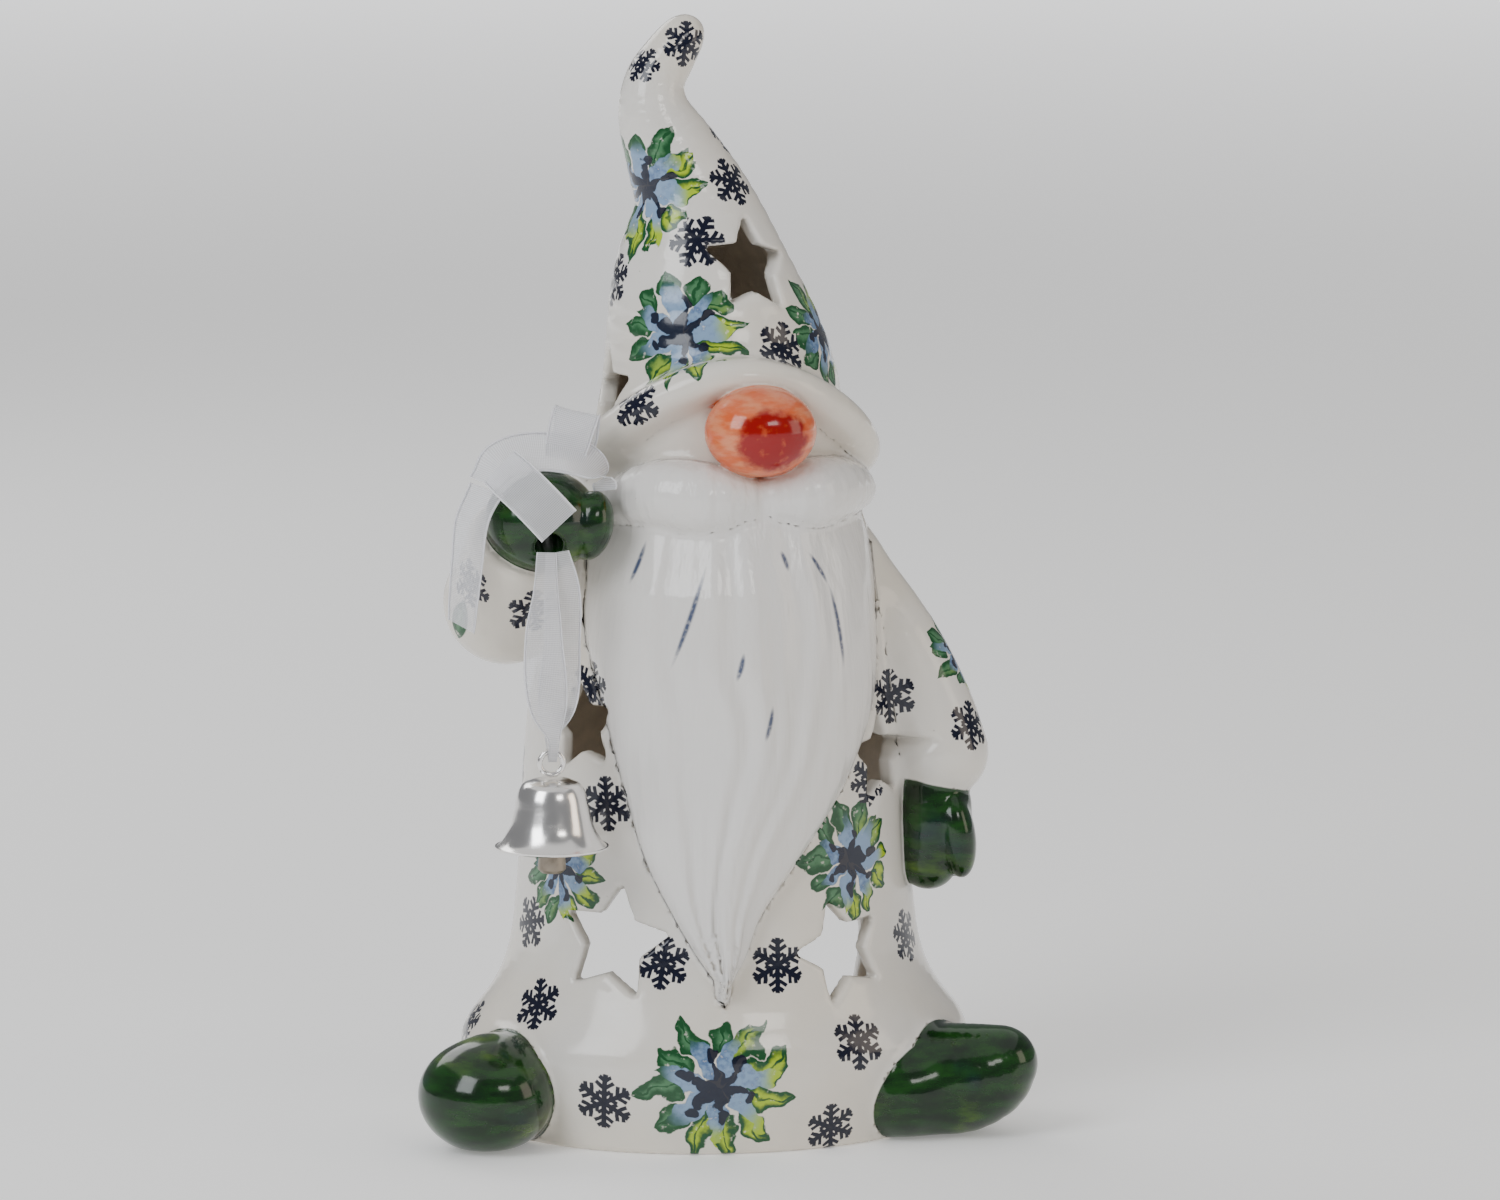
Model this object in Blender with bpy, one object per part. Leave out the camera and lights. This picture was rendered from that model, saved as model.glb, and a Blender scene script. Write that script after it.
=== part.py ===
"""Stoneware tomte lantern with a ribbon and a hanging bell.

Units are metres, +Z is up and the figure faces -Y. The origin lies on the
surface it stands on, under the middle of the robe. Left and right in the
names are a viewer's, who stands in front of the figure: left is -X.
"""

import math

import bmesh
import bpy
from mathutils import Matrix, Vector

# ---- Driving dimensions ------------------------------------------------
GAP = 0.0003                    # clearance between clay forms that touch
WALL = 0.0045                   # thickness of the stoneware wall
FLOOR = 0.0050                  # thickness of the lantern's floor

ROBE_SEAM_Z = 0.150             # where the robe ends and the hat begins
ROBE_NECK_HALF_WIDTH = 0.0295
ROBE_NECK_HALF_DEPTH = 0.0290
ROBE_NECK_X = 0.0015
ROBE_CHEST_Z = 0.100
ROBE_CHEST_HALF_WIDTH = 0.0415
ROBE_CHEST_HALF_DEPTH = 0.0360
ROBE_WAIST_Z = 0.042
ROBE_WAIST_HALF_WIDTH = 0.0465
ROBE_WAIST_HALF_DEPTH = 0.0395
HEM_CREST_Z = 0.020             # height of the widest part of the flared hem
HEM_HALF_WIDTH = 0.0575
HEM_HALF_DEPTH = 0.0455
FOOT_HALF_WIDTH = 0.0520        # the flat ring that the robe stands on
FOOT_HALF_DEPTH = 0.0415

HAT_HEIGHT = 0.0985             # from the seam to the tip
HAT_TIP_RADIUS = 0.0042
HAT_TIP_X = -0.0058
BRIM_RADIUS = 0.0052            # half thickness of the rolled brim
BRIM_ABOVE_SEAM = 0.0025        # brim at the sides and the back
BRIM_RISE = 0.0205              # how far its arch lifts over the nose

STAR_RADIUS = 0.0115            # a piercing's centre to its points
STAR_WAIST = 0.0058             # a piercing's centre to its inner corners
ARCH_HALF_WIDTH = 0.0380        # candle opening at the back
ARCH_SPRING_Z = 0.0330          # where its sides turn into the arch

BEARD_BELOW_SEAM = 0.0020       # the beard's top edge
BEARD_LENGTH = 0.1080
BEARD_HALF_WIDTH = 0.0328
BEARD_THICKNESS = 0.0080        # how far the beard stands off the robe
MOUSTACHE_HALF_WIDTH = 0.0165   # one lobe
MOUSTACHE_HALF_HEIGHT = 0.0085
NOSE_HALF_WIDTH = 0.0125
NOSE_HALF_HEIGHT = 0.0102
NOSE_HALF_DEPTH = 0.0105

SLEEVE_RADIUS = 0.0132          # raised arm
RAISED_ELBOW_REACH = 0.0490     # sideways from the robe's middle
RAISED_ELBOW_DROP = 0.0285      # below the seam
RAISED_FOREARM_RISE = 0.0150    # elbow to cuff
RAISED_MITTEN_HALF_WIDTH = 0.0132
RAISED_MITTEN_HALF_HEIGHT = 0.0116
HANGING_SLEEVE_RADIUS = 0.0102
HANGING_SLEEVE_LENGTH = 0.0390
HANGING_CUFF_Z = 0.0800
HANGING_MITTEN_HEIGHT = 0.0280
HANGING_MITTEN_HALF_WIDTH = 0.0072

BOOT_HALF_WIDTH = 0.0150
BOOT_HALF_HEIGHT = 0.0128
BOOT_HEEL_TUCK = 0.0195         # from the hem's widest point in to the heels
RIGHT_BOOT_LENGTH = 0.0330
RIGHT_HEEL_FORWARD = 0.0230     # from the robe's middle
LEFT_BOOT_LENGTH = 0.0400
LEFT_HEEL_FORWARD = 0.0100

RIBBON_WIDTH = 0.0098
RIBBON_THICKNESS = 0.0006       # one closed layer of the doubled sheer weave
RIBBON_CLEARANCE = 0.0004
RIBBON_BORE_RADIUS = 0.0034     # hole through the raised fist
RIBBON_DROP = 0.0435            # fist to bell loop
RIBBON_STAND_OFF = 0.0016       # strands in front of the fist
FOLD_WIDTH = 0.0022             # the gathered ribbon where it passes through the bell's loop
FOLD_HEIGHT = 0.0030

BELL_RADIUS = 0.0126            # outside, at the rim
BELL_TOP_RADIUS = 0.0058
BELL_HEIGHT = 0.0155
BELL_WALL = 0.0008
BELL_LOOP_RADIUS = 0.0026
BELL_WIRE_RADIUS = 0.0006
CLAPPER_LENGTH = 0.0195
CLAPPER_RADIUS = 0.0031
CLAPPER_HEIGHT = 0.0078

CANDLE_RADIUS = 0.0190
CANDLE_HEIGHT = 0.0160
CANDLE_CUP_WALL = 0.0004
WICK_RADIUS = 0.0008
WICK_HEIGHT = 0.0100

ROUND = 40                      # segments round the big forms
MEDIUM = 24
SMALL = 16

# ---- Helpers -----------------------------------------------------------


def clear_scene():
    """Remove whatever the scene holds."""
    for item in list(bpy.context.scene.objects):
        bpy.data.objects.remove(item, do_unlink=True)


def material(name, colour, roughness, metallic=0.0):
    """A Principled material; the first call with a name makes it."""
    made = bpy.data.materials.get(name)
    if made is None:
        made = bpy.data.materials.new(name)
        made.use_nodes = True
        shader = made.node_tree.nodes["Principled BSDF"]
        shader.inputs["Base Color"].default_value = (*colour, 1.0)
        shader.inputs["Roughness"].default_value = roughness
        shader.inputs["Metallic"].default_value = metallic
    return made


def finish_mesh(name, bm, finish, guide=False):
    """Turn a bmesh into a smooth-shaded object with outward faces."""
    bmesh.ops.recalc_face_normals(bm, faces=bm.faces)
    mesh = bpy.data.meshes.new(name)
    bm.to_mesh(mesh)
    bm.free()
    mesh.shade_smooth()
    mesh.set_sharp_from_angle(angle=math.radians(40))
    made = bpy.data.objects.new(name, mesh)
    bpy.context.scene.collection.objects.link(made)
    if finish is not None:
        mesh.materials.append(finish)
    if guide:
        made.hide_render = True
        made.display_type = 'WIRE'
    return made


def smooth_between(stations, steps):
    """Points on a smooth curve through the stations, each a tuple of numbers."""
    rows = [Vector(s) for s in stations]
    rows = [rows[0] * 2 - rows[1]] + rows + [rows[-1] * 2 - rows[-2]]
    out = []
    for i in range(1, len(rows) - 2):
        a, b, c, d = rows[i - 1:i + 3]
        for k in range(steps):
            t = k / steps
            out.append(0.5 * ((2 * b) + (c - a) * t + (2 * a - 5 * b + 4 * c - d) * t * t
                              + (3 * b - a - 3 * c + d) * t ** 3))
    out.append(rows[-2])
    return out


def skin_rings(bm, rings):
    """Join closed rings of vertices in turn and cap both ends."""
    for low, high in zip(rings, rings[1:]):
        count = len(low)
        for i in range(count):
            j = (i + 1) % count
            bm.faces.new((low[i], low[j], high[j], high[i]))
    bm.faces.new(rings[0])
    bm.faces.new(rings[-1])


def level_rings(name, rows, segments, finish, guide=False):
    """A turned form of level ellipses; rows hold x, y, z, half width, half depth."""
    bm = bmesh.new()
    rings = []
    for x, y, z, width, depth in rows:
        turn = [2 * math.pi * i / segments for i in range(segments)]
        rings.append([bm.verts.new((x + width * math.sin(a), y - depth * math.cos(a), z)) for a in turn])
    skin_rings(bm, rings)
    return finish_mesh(name, bm, finish, guide)


def tube(name, rows, segments, finish, guide=False):
    """A round limb along a path; rows hold x, y, z, radius."""
    bm = bmesh.new()
    rings = []
    side = Vector((0, 1, 0))
    for i, row in enumerate(rows):
        here = Vector(row[:3])
        before = Vector(rows[max(i - 1, 0)][:3])
        after = Vector(rows[min(i + 1, len(rows) - 1)][:3])
        along = (after - before).normalized()
        side = (side - along * side.dot(along)).normalized()
        across = along.cross(side)
        ring = []
        for k in range(segments):
            turn = 2 * math.pi * k / segments
            ring.append(bm.verts.new(here + row[3] * (across * math.cos(turn) + side * math.sin(turn))))
        rings.append(ring)
    skin_rings(bm, rings)
    return finish_mesh(name, bm, finish, guide)


def egg(name, centre, half, finish, turn=None, guide=False, swell=0.0):
    """An ellipsoid with the given half sizes."""
    bm = bmesh.new()
    bmesh.ops.create_uvsphere(bm, u_segments=MEDIUM, v_segments=MEDIUM // 2, radius=1.0)
    size = Matrix.Diagonal((half[0] + swell, half[1] + swell, half[2] + swell, 1.0))
    place = Matrix.Translation(centre) @ (turn or Matrix.Identity(4)) @ size
    bmesh.ops.transform(bm, matrix=place, verts=bm.verts)
    return finish_mesh(name, bm, finish, guide)


def limb(name, ball, ball_radius, end, end_radius, finish, guide=False, swell=0.0, flat_end=None):
    """The convex skin over a ball and a second ball, or over a ball and a flat round end."""
    bm = bmesh.new()
    place = Matrix.Translation(ball)
    bmesh.ops.create_uvsphere(bm, u_segments=MEDIUM, v_segments=MEDIUM // 2, radius=ball_radius + swell,
                              matrix=place)
    if flat_end is None:
        bmesh.ops.create_uvsphere(bm, u_segments=MEDIUM, v_segments=MEDIUM // 2, radius=end_radius + swell,
                                  matrix=Matrix.Translation(end))
    else:
        facing = flat_end.to_track_quat('Z', 'Y').to_matrix().to_4x4()
        shift = Matrix.Translation(end + flat_end * swell)
        bmesh.ops.create_circle(bm, segments=MEDIUM, radius=end_radius + swell, matrix=shift @ facing)
    skin = bmesh.new()
    points = [skin.verts.new(vert.co) for vert in bm.verts]
    bm.free()
    made = bmesh.ops.convex_hull(skin, input=points)
    inside = [item for item in made["geom_interior"] if isinstance(item, bmesh.types.BMVert)]
    bmesh.ops.delete(skin, geom=inside, context='VERTS')
    return finish_mesh(name, skin, finish, guide)


def cut(target, *cutters):
    """Subtract each cutter from the target."""
    for cutter in cutters:
        step = target.modifiers.new("cut " + cutter.name, 'BOOLEAN')
        step.operation = 'DIFFERENCE'
        step.solver = 'EXACT'
        step.object = cutter


def join(target, *others):
    """Union other solids into the target, before it is cut."""
    for other in others:
        step = target.modifiers.new("join " + other.name, 'BOOLEAN')
        step.operation = 'UNION'
        step.solver = 'EXACT'
        step.object = other


def pivot(name, place):
    """An empty on a joint's axis."""
    made = bpy.data.objects.new(name, None)
    made.location = place
    bpy.context.scene.collection.objects.link(made)
    return made


def hang_on(parent, *pieces):
    """Parent pieces to a pivot without moving them."""
    for piece in pieces:
        piece.parent = parent
        piece.matrix_parent_inverse = Matrix.Translation(-Vector(parent.location))


# ---- Shapes shared by several pieces -----------------------------------

BEARD_TOP_Z = ROBE_SEAM_Z - BEARD_BELOW_SEAM
ROBE_OUTLINE = (                # height, half width, half depth
    (0.0, FOOT_HALF_WIDTH, FOOT_HALF_DEPTH),
    (HEM_CREST_Z, HEM_HALF_WIDTH, HEM_HALF_DEPTH),
    (ROBE_WAIST_Z, ROBE_WAIST_HALF_WIDTH, ROBE_WAIST_HALF_DEPTH),
    (ROBE_CHEST_Z, ROBE_CHEST_HALF_WIDTH, ROBE_CHEST_HALF_DEPTH),
    (ROBE_SEAM_Z, ROBE_NECK_HALF_WIDTH, ROBE_NECK_HALF_DEPTH),
)
ROBE_STEPS = 4


def robe_section(z):
    """Half width and half depth of the robe's outside at a height."""
    rows = smooth_between(ROBE_OUTLINE, ROBE_STEPS)
    for low, high in zip(rows, rows[1:]):
        if z <= high[0]:
            share = (z - low[0]) / (high[0] - low[0])
            return low[1] + (high[1] - low[1]) * share, low[2] + (high[2] - low[2]) * share
    return rows[-1][1], rows[-1][2]


def robe_axis_x(z):
    """The robe leans a little to the right towards the neck."""
    lift = max(0.0, z - ROBE_CHEST_Z) / (ROBE_SEAM_Z - ROBE_CHEST_Z)
    return ROBE_NECK_X * min(1.0, lift)


def on_robe(x, z, out=0.0):
    """The point on the robe's front above x, pushed out by a distance in depth."""
    width, depth = robe_section(z)
    share = max(-0.999, min(0.999, (x - robe_axis_x(z)) / width))
    return Vector((x, -depth * math.sqrt(1 - share * share) - out, z))


def robe_form(name, inset, low, high, guide, finish=None):
    """The robe's outline between two heights, inset by a distance (negative swells it)."""
    rows = []
    for z, width, depth in smooth_between(ROBE_OUTLINE, ROBE_STEPS):
        if low < z < high:
            rows.append((robe_axis_x(z), 0.0, z, width - inset, depth - inset))
    for z in (low, high):
        inside = min(max(z, 0.0), ROBE_SEAM_Z)
        width, depth = robe_section(inside)
        rows.append((robe_axis_x(inside), 0.0, z, width - inset, depth - inset))
    rows.sort(key=lambda row: row[2])
    return level_rings(name, rows, ROUND, finish, guide)


HAT_AXIS = (                    # share of the height, sideways lean, radius
    (0.0, ROBE_NECK_X, ROBE_NECK_HALF_WIDTH),
    (0.20, 0.0010, 0.0262),
    (0.40, -0.0025, 0.0208),
    (0.58, -0.0042, 0.0138),
    (0.70, -0.0090, 0.0108),
    (0.80, -0.0135, 0.0082),
    (0.875, -0.0135, 0.0068),
    (0.93, -0.0105, 0.0060),
    (0.97, -0.0078, 0.0052),
    (1.0, HAT_TIP_X, HAT_TIP_RADIUS * 0.5),
)


def hat_rows(inset=0.0, stop=1.0):
    """The hat's axis and radius from the seam up to a share of its height."""
    stations = [(x, 0.0, ROBE_SEAM_Z + GAP + share * HAT_HEIGHT, radius) for share, x, radius in HAT_AXIS]
    rows = smooth_between(stations, 2)
    kept = [row for row in rows if row[2] <= ROBE_SEAM_Z + GAP + stop * HAT_HEIGHT + 1e-6]
    return [(x, y, z, radius - inset) for x, y, z, radius in kept]


def hat_space_rows():
    """The hat's outside with its clearance, reaching down past the seam."""
    rows = hat_rows(-GAP)
    x, y, z, radius = rows[0]
    return [(x, y, z - 0.001, radius)] + rows[1:]


def on_hat(share, turn):
    """A point on the hat at a share of its height; turn is 0 in front, 90 at +X."""
    rows = hat_rows()
    target = ROBE_SEAM_Z + GAP + share * HAT_HEIGHT
    row = min(rows, key=lambda item: abs(item[2] - target))
    angle = math.radians(turn)
    out = Vector((math.sin(angle), -math.cos(angle), 0.0))
    return Vector((row[0], row[1], target)) + out * row[3], out


def star_cutter(name, place, out, radius, roll=0.0):
    """A five-pointed prism through the wall, facing along out."""
    bm = bmesh.new()
    corners = []
    for i in range(10):
        turn = math.radians(36 * i + roll)
        reach = radius if i % 2 == 0 else radius * STAR_WAIST / STAR_RADIUS
        corners.append((math.sin(turn) * reach, math.cos(turn) * reach))
    up = (Vector((0, 0, 1)) - out * out.z).normalized()
    right = up.cross(out).normalized()
    rings = []
    for depth in (-2.2 * WALL, 2.2 * WALL):
        rings.append([bm.verts.new(place + right * x + up * y + out * depth) for x, y in corners])
    skin_rings(bm, rings)
    return finish_mesh(name, bm, None, guide=True)


def outward(x, z):
    """Level direction that the robe's front faces above x."""
    width, depth = robe_section(z)
    spot = on_robe(x, z)
    return Vector((spot.x / width ** 2, spot.y / depth ** 2, 0.0)).normalized()


# ---- The stoneware figure ----------------------------------------------

ROBE_STARS = (                  # name, x, z, roll, radius share
    ("low_left_star", -0.0285, 0.0470, 8.0, 1.10),
    ("low_right_star", 0.0235, 0.0440, -16.0, 0.98),
    ("mid_right_star", 0.0345, 0.0860, 0.0, 0.82),
    ("mid_left_star", -0.0345, 0.0945, -10.0, 0.85),
)
HAT_STARS = (                   # name, share of the hat's height, turn, roll, radius share
    ("front_hat_star", 0.47, 28.0, 6.0, 0.88),
    ("left_hat_star", 0.17, -82.0, -8.0, 0.85),
    ("back_hat_star", 0.30, 165.0, 0.0, 0.90),
)
BACK_STAR_Z = 0.105             # one more piercing over the candle opening


def robe_shell(white):
    """Hollow robe with its piercings and the arched opening at the back."""
    robe = robe_form("robe_shell", 0.0, 0.0, ROBE_SEAM_Z, False, white)
    cutters = [robe_form("robe_cavity", WALL, FLOOR, ROBE_SEAM_Z + 0.01, True)]
    for name, x, z, roll, share in ROBE_STARS:
        cutters.append(star_cutter(name, on_robe(x, z), outward(x, z), STAR_RADIUS * share, roll))
    depth = robe_section(BACK_STAR_Z)[1]
    back = Vector((0, depth, BACK_STAR_Z))
    cutters.append(star_cutter("back_robe_star", back, Vector((0, 1, 0)), STAR_RADIUS))
    cutters.append(arch_cutter())
    cut(robe, *cutters)
    return robe


def arch_cutter():
    """A round-headed doorway from the floor up, through the back wall only."""
    bm = bmesh.new()
    outline = [(-ARCH_HALF_WIDTH, FLOOR), (-ARCH_HALF_WIDTH, ARCH_SPRING_Z)]
    for i in range(1, MEDIUM):
        turn = math.pi * i / MEDIUM
        outline.append((-ARCH_HALF_WIDTH * math.cos(turn), ARCH_SPRING_Z + ARCH_HALF_WIDTH * math.sin(turn)))
    outline += [(ARCH_HALF_WIDTH, ARCH_SPRING_Z), (ARCH_HALF_WIDTH, FLOOR)]
    rings = [[bm.verts.new((x, y, z)) for x, z in outline] for y in (0.0, HEM_HALF_DEPTH + 0.01)]
    skin_rings(bm, rings)
    return finish_mesh("arch", bm, None, guide=True)


def hat_shell(white):
    """Hollow bent cone; the curled tip is solid."""
    hat = tube("hat_shell", hat_rows(), ROUND, white)
    inner = hat_rows(WALL, 0.72)
    first = inner[0]
    inner[0] = (first[0], first[1], first[2] - 0.002, first[3])
    cutters = [tube("hat_cavity", inner, MEDIUM, None, guide=True)]
    for name, share, turn, roll, size in HAT_STARS:
        place, out = on_hat(share, turn)
        cutters.append(star_cutter(name, place, out, STAR_RADIUS * size, roll))
    cut(hat, *cutters)
    return hat


def brim_path():
    """Closed ring round the hat's foot, arched up in front."""
    path = []
    for i in range(ROUND):
        turn = 2 * math.pi * i / ROUND
        front = max(0.0, math.cos(turn))
        z = ROBE_SEAM_Z + BRIM_ABOVE_SEAM + BRIM_RISE * front ** 1.5
        row = min(hat_rows(), key=lambda item: abs(item[2] - z))
        reach = row[3] + BRIM_RADIUS * (0.35 + 0.40 * front)
        path.append(Vector((row[0] + reach * math.sin(turn), -reach * math.cos(turn), z)))
    return path


def brim_ring(name, finish):
    """The rolled brim as one closed ring of round sections."""
    bm = bmesh.new()
    path = brim_path()
    rings = []
    sides = 10
    for i, here in enumerate(path):
        along = (path[(i + 1) % len(path)] - path[i - 1]).normalized()
        out = Vector((here.x, here.y, 0.0)).normalized()
        out = (out - along * out.dot(along)).normalized()
        up = along.cross(out)
        ring = []
        for k in range(sides):
            turn = 2 * math.pi * k / sides
            spoke = out * math.cos(turn) + up * math.sin(turn)
            ring.append(bm.verts.new(here + BRIM_RADIUS * spoke))
        rings.append(ring)
    for i, low in enumerate(rings):
        high = rings[(i + 1) % len(rings)]
        for k in range(sides):
            j = (k + 1) % sides
            bm.faces.new((low[k], low[j], high[j], high[k]))
    return finish_mesh(name, bm, finish)


BEARD_ROOT = 0.003              # how deep its edge would reach before it is cut back to the robe
BEARD_SHAPE = (                 # share of the length, middle, share of the half width
    (0.0, 0.0020, 0.62),
    (0.12, 0.0005, 0.94),
    (0.30, 0.0005, 1.0),
    (0.46, 0.0010, 0.92),
    (0.62, -0.0010, 0.74),
    (0.76, -0.0040, 0.50),
    (0.88, -0.0052, 0.27),
    (0.96, -0.0048, 0.16),
    (1.0, -0.0048, 0.07),
)


def beard_form(name, finish):
    """A crowned tongue of clay that follows the robe's front and ends in a tip."""
    bm = bmesh.new()
    rings = []
    columns = 14
    for share, middle, width in smooth_between(BEARD_SHAPE, 2):
        z = BEARD_TOP_Z - share * BEARD_LENGTH
        half = BEARD_HALF_WIDTH * width
        crown = BEARD_THICKNESS * (0.55 + 0.45 * math.sin(math.pi * min(1.0, share + 0.25)))
        front = []
        back = []
        for i in range(columns + 1):
            across = -1 + 2 * i / columns
            x = middle + half * across
            rise = (crown + BEARD_ROOT) * max(0.0, 1 - across ** 4) ** 0.5
            front.append(bm.verts.new(on_robe(x, z, rise - BEARD_ROOT)))
            if 0 < i < columns:
                back.append(bm.verts.new(on_robe(x, z, -2 * BEARD_ROOT)))
        rings.append(front + back[::-1])
    skin_rings(bm, rings)
    return finish_mesh(name, bm, finish)


LIP_Z = BEARD_TOP_Z + 0.0008


def moustache_lobes(finish, swell=0.0):
    """The two lobes; swelled, they are the space that the moustache needs."""
    half = (MOUSTACHE_HALF_WIDTH, 0.0090, MOUSTACHE_HALF_HEIGHT)
    made = []
    for name, x, tilt in (("moustache", -0.0115, 6), ("moustache_right_lobe", 0.0175, -6)):
        turn = Matrix.Rotation(math.radians(tilt), 4, 'Y')
        guide = swell > 0 or name != "moustache"
        label = name + "_space" if swell > 0 else name
        made.append(egg(label, on_robe(x, LIP_Z, 0.0040), half, finish, turn, guide, swell))
    return made


def nose_egg(name, finish, swell=0.0):
    """The nose, resting between the lobes and under the brim's arch."""
    z = LIP_Z + MOUSTACHE_HALF_HEIGHT * 0.55 + NOSE_HALF_HEIGHT * 0.78
    place = Vector((0.0045, on_robe(0.0045, ROBE_SEAM_Z).y - 0.0055, z))
    half = (NOSE_HALF_WIDTH, NOSE_HALF_DEPTH, NOSE_HALF_HEIGHT)
    return egg(name, place, half, finish, guide=swell > 0, swell=swell)


def raised_elbow():
    """Centre of the raised arm's elbow."""
    return Vector((-RAISED_ELBOW_REACH, -0.0100, ROBE_SEAM_Z - RAISED_ELBOW_DROP))


def raised_cuff():
    """Centre and facing of the raised cuff."""
    facing = Vector((0.30, -0.62, 0.72)).normalized()
    return raised_elbow() + Vector((0.0020, -0.0120, RAISED_FOREARM_RISE)), facing


def raised_limbs(finish, swell=0.0):
    """Upper arm and forearm of the raised sleeve."""
    guide = swell > 0
    suffix = "_space" if guide else ""
    shoulder = raised_elbow() + Vector((0.0200, 0.0060, 0.0050))
    cuff, facing = raised_cuff()
    elbow = raised_elbow()
    forearm = limb("raised_sleeve" + suffix, elbow, SLEEVE_RADIUS, cuff, SLEEVE_RADIUS * 0.96, finish,
                   guide, swell, facing)
    inner = elbow + Vector((0.0045, 0.0007, 0.0004))
    upper = limb("raised_upper_arm" + suffix, shoulder, SLEEVE_RADIUS * 0.92, inner, SLEEVE_RADIUS * 0.86,
                 finish, True, swell)
    return forearm, upper


def hanging_cuff():
    """Centre of the hanging cuff."""
    return Vector((robe_section(HANGING_CUFF_Z)[0] + 0.0062, -0.0125, HANGING_CUFF_Z))


def hanging_limb(finish, swell=0.0):
    """The hanging sleeve, from the shoulder to its flat cuff."""
    guide = swell > 0
    shoulder_z = HANGING_CUFF_Z + HANGING_SLEEVE_LENGTH
    shoulder = Vector((robe_section(shoulder_z)[0] - 0.0030, -0.0060, shoulder_z))
    name = "hanging_sleeve_space" if guide else "hanging_sleeve"
    facing = Vector((0.05, -0.08, -1.0)).normalized()
    return limb(name, shoulder, HANGING_SLEEVE_RADIUS, hanging_cuff(), HANGING_SLEEVE_RADIUS * 0.97, finish,
                guide, swell, facing)


def raised_mitten_place():
    """Centre of the fist, just past the raised cuff."""
    cuff, facing = raised_cuff()
    return cuff + facing * RAISED_MITTEN_HALF_HEIGHT * 0.62 + Vector((0.0020, 0.0, 0.0))


def fist_exit():
    """Where the strands leave the fist, low on its front."""
    place = raised_mitten_place()
    low = place.z - RAISED_MITTEN_HALF_HEIGHT * 0.53
    return Vector((place.x - 0.0004, place.y - RAISED_MITTEN_HALF_HEIGHT, low))


def raised_mitten(finish):
    """The fist, with the bore that the ribbon runs through."""
    place = raised_mitten_place()
    half = (RAISED_MITTEN_HALF_WIDTH, RAISED_MITTEN_HALF_HEIGHT, RAISED_MITTEN_HALF_HEIGHT)
    fist = egg("raised_mitten", place, half, finish)
    start = fist_exit()
    line = (place + Vector((0.001, -0.002, 0.0))) - start
    bore_rows = [(*(start + line * share), RIBBON_BORE_RADIUS) for share in (-1.0, 2.8)]
    cut(fist, tube("ribbon_bore", bore_rows, SMALL, None, guide=True))
    return fist


def hanging_mitten(finish):
    """The hand that hangs from the right cuff."""
    end = hanging_cuff()
    low = end + Vector((-0.0005, -0.0010, 0.004 - HANGING_MITTEN_HEIGHT))
    w = HANGING_MITTEN_HALF_WIDTH
    shape = ((-0.08, 1.0), (0.30, 1.05), (0.65, 0.98), (0.90, 0.75), (1.0, 0.30))
    rows = [(*(end + (low - end) * share), w * size) for share, size in shape]
    return tube("hanging_mitten", rows, MEDIUM, finish)


def boot_rows(side, forward, length, toe_turn, lift):
    """Heel to toe of one boot; side is -1 at the left and 1 at the right."""
    heel = Vector((side * (HEM_HALF_WIDTH - BOOT_HEEL_TUCK), -forward, 0.0))
    turn = math.radians(toe_turn)
    ahead = Vector((side * math.sin(turn), -math.cos(turn), 0.0))
    shape = ((0.0, 0.86), (0.30, 0.95), (0.55, 1.0), (0.78, 0.92), (0.92, 0.66), (1.0, 0.28))
    rows = []
    for share, size in shape:
        spot = heel + ahead * share * length
        height = BOOT_HALF_HEIGHT * size
        rise = lift * max(0.0, share - 0.55) ** 1.5
        rows.append((spot.x, spot.y, height * 0.97 + rise, height))
    return rows


def boot(name, side, forward, length, toe_turn, lift, finish):
    """One boot, with its sole flattened at the level that the robe stands on."""
    rows = boot_rows(side, forward, length, toe_turn, lift)
    made = tube(name, rows, MEDIUM, finish)
    mesh = made.data
    for vert in mesh.vertices:
        vert.co.z = max(vert.co.z, 0.0)
    stretch = BOOT_HALF_WIDTH / BOOT_HALF_HEIGHT
    turn = math.radians(toe_turn)
    across = Vector((math.cos(turn), side * math.sin(turn), 0.0))
    heel = Vector(rows[0][:3])
    for vert in mesh.vertices:
        offset = (vert.co - heel).dot(across)
        vert.co += across * offset * (stretch - 1)
    return made


# ---- Ribbon ------------------------------------------------------------


def ribbon_run(name, points, width_rows, across, finish, steps=4):
    """A flat closed run of ribbon through points; across gives its width direction."""
    bm = bmesh.new()
    rings = []
    rows = smooth_between([(*p, w) for p, w in zip(points, width_rows)], steps)
    for i, row in enumerate(rows):
        here = Vector(row[:3])
        after = Vector(rows[min(i + 1, len(rows) - 1)][:3])
        along = (after - Vector(rows[max(i - 1, 0)][:3])).normalized()
        side = (Vector(across) - along * Vector(across).dot(along)).normalized() * row[3] / 2
        face = along.cross(side).normalized() * RIBBON_THICKNESS / 2
        rings.append([bm.verts.new(here + s) for s in (side + face, side - face, -side - face, face - side)])
    skin_rings(bm, rings)
    return finish_mesh(name, bm, finish)


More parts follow.
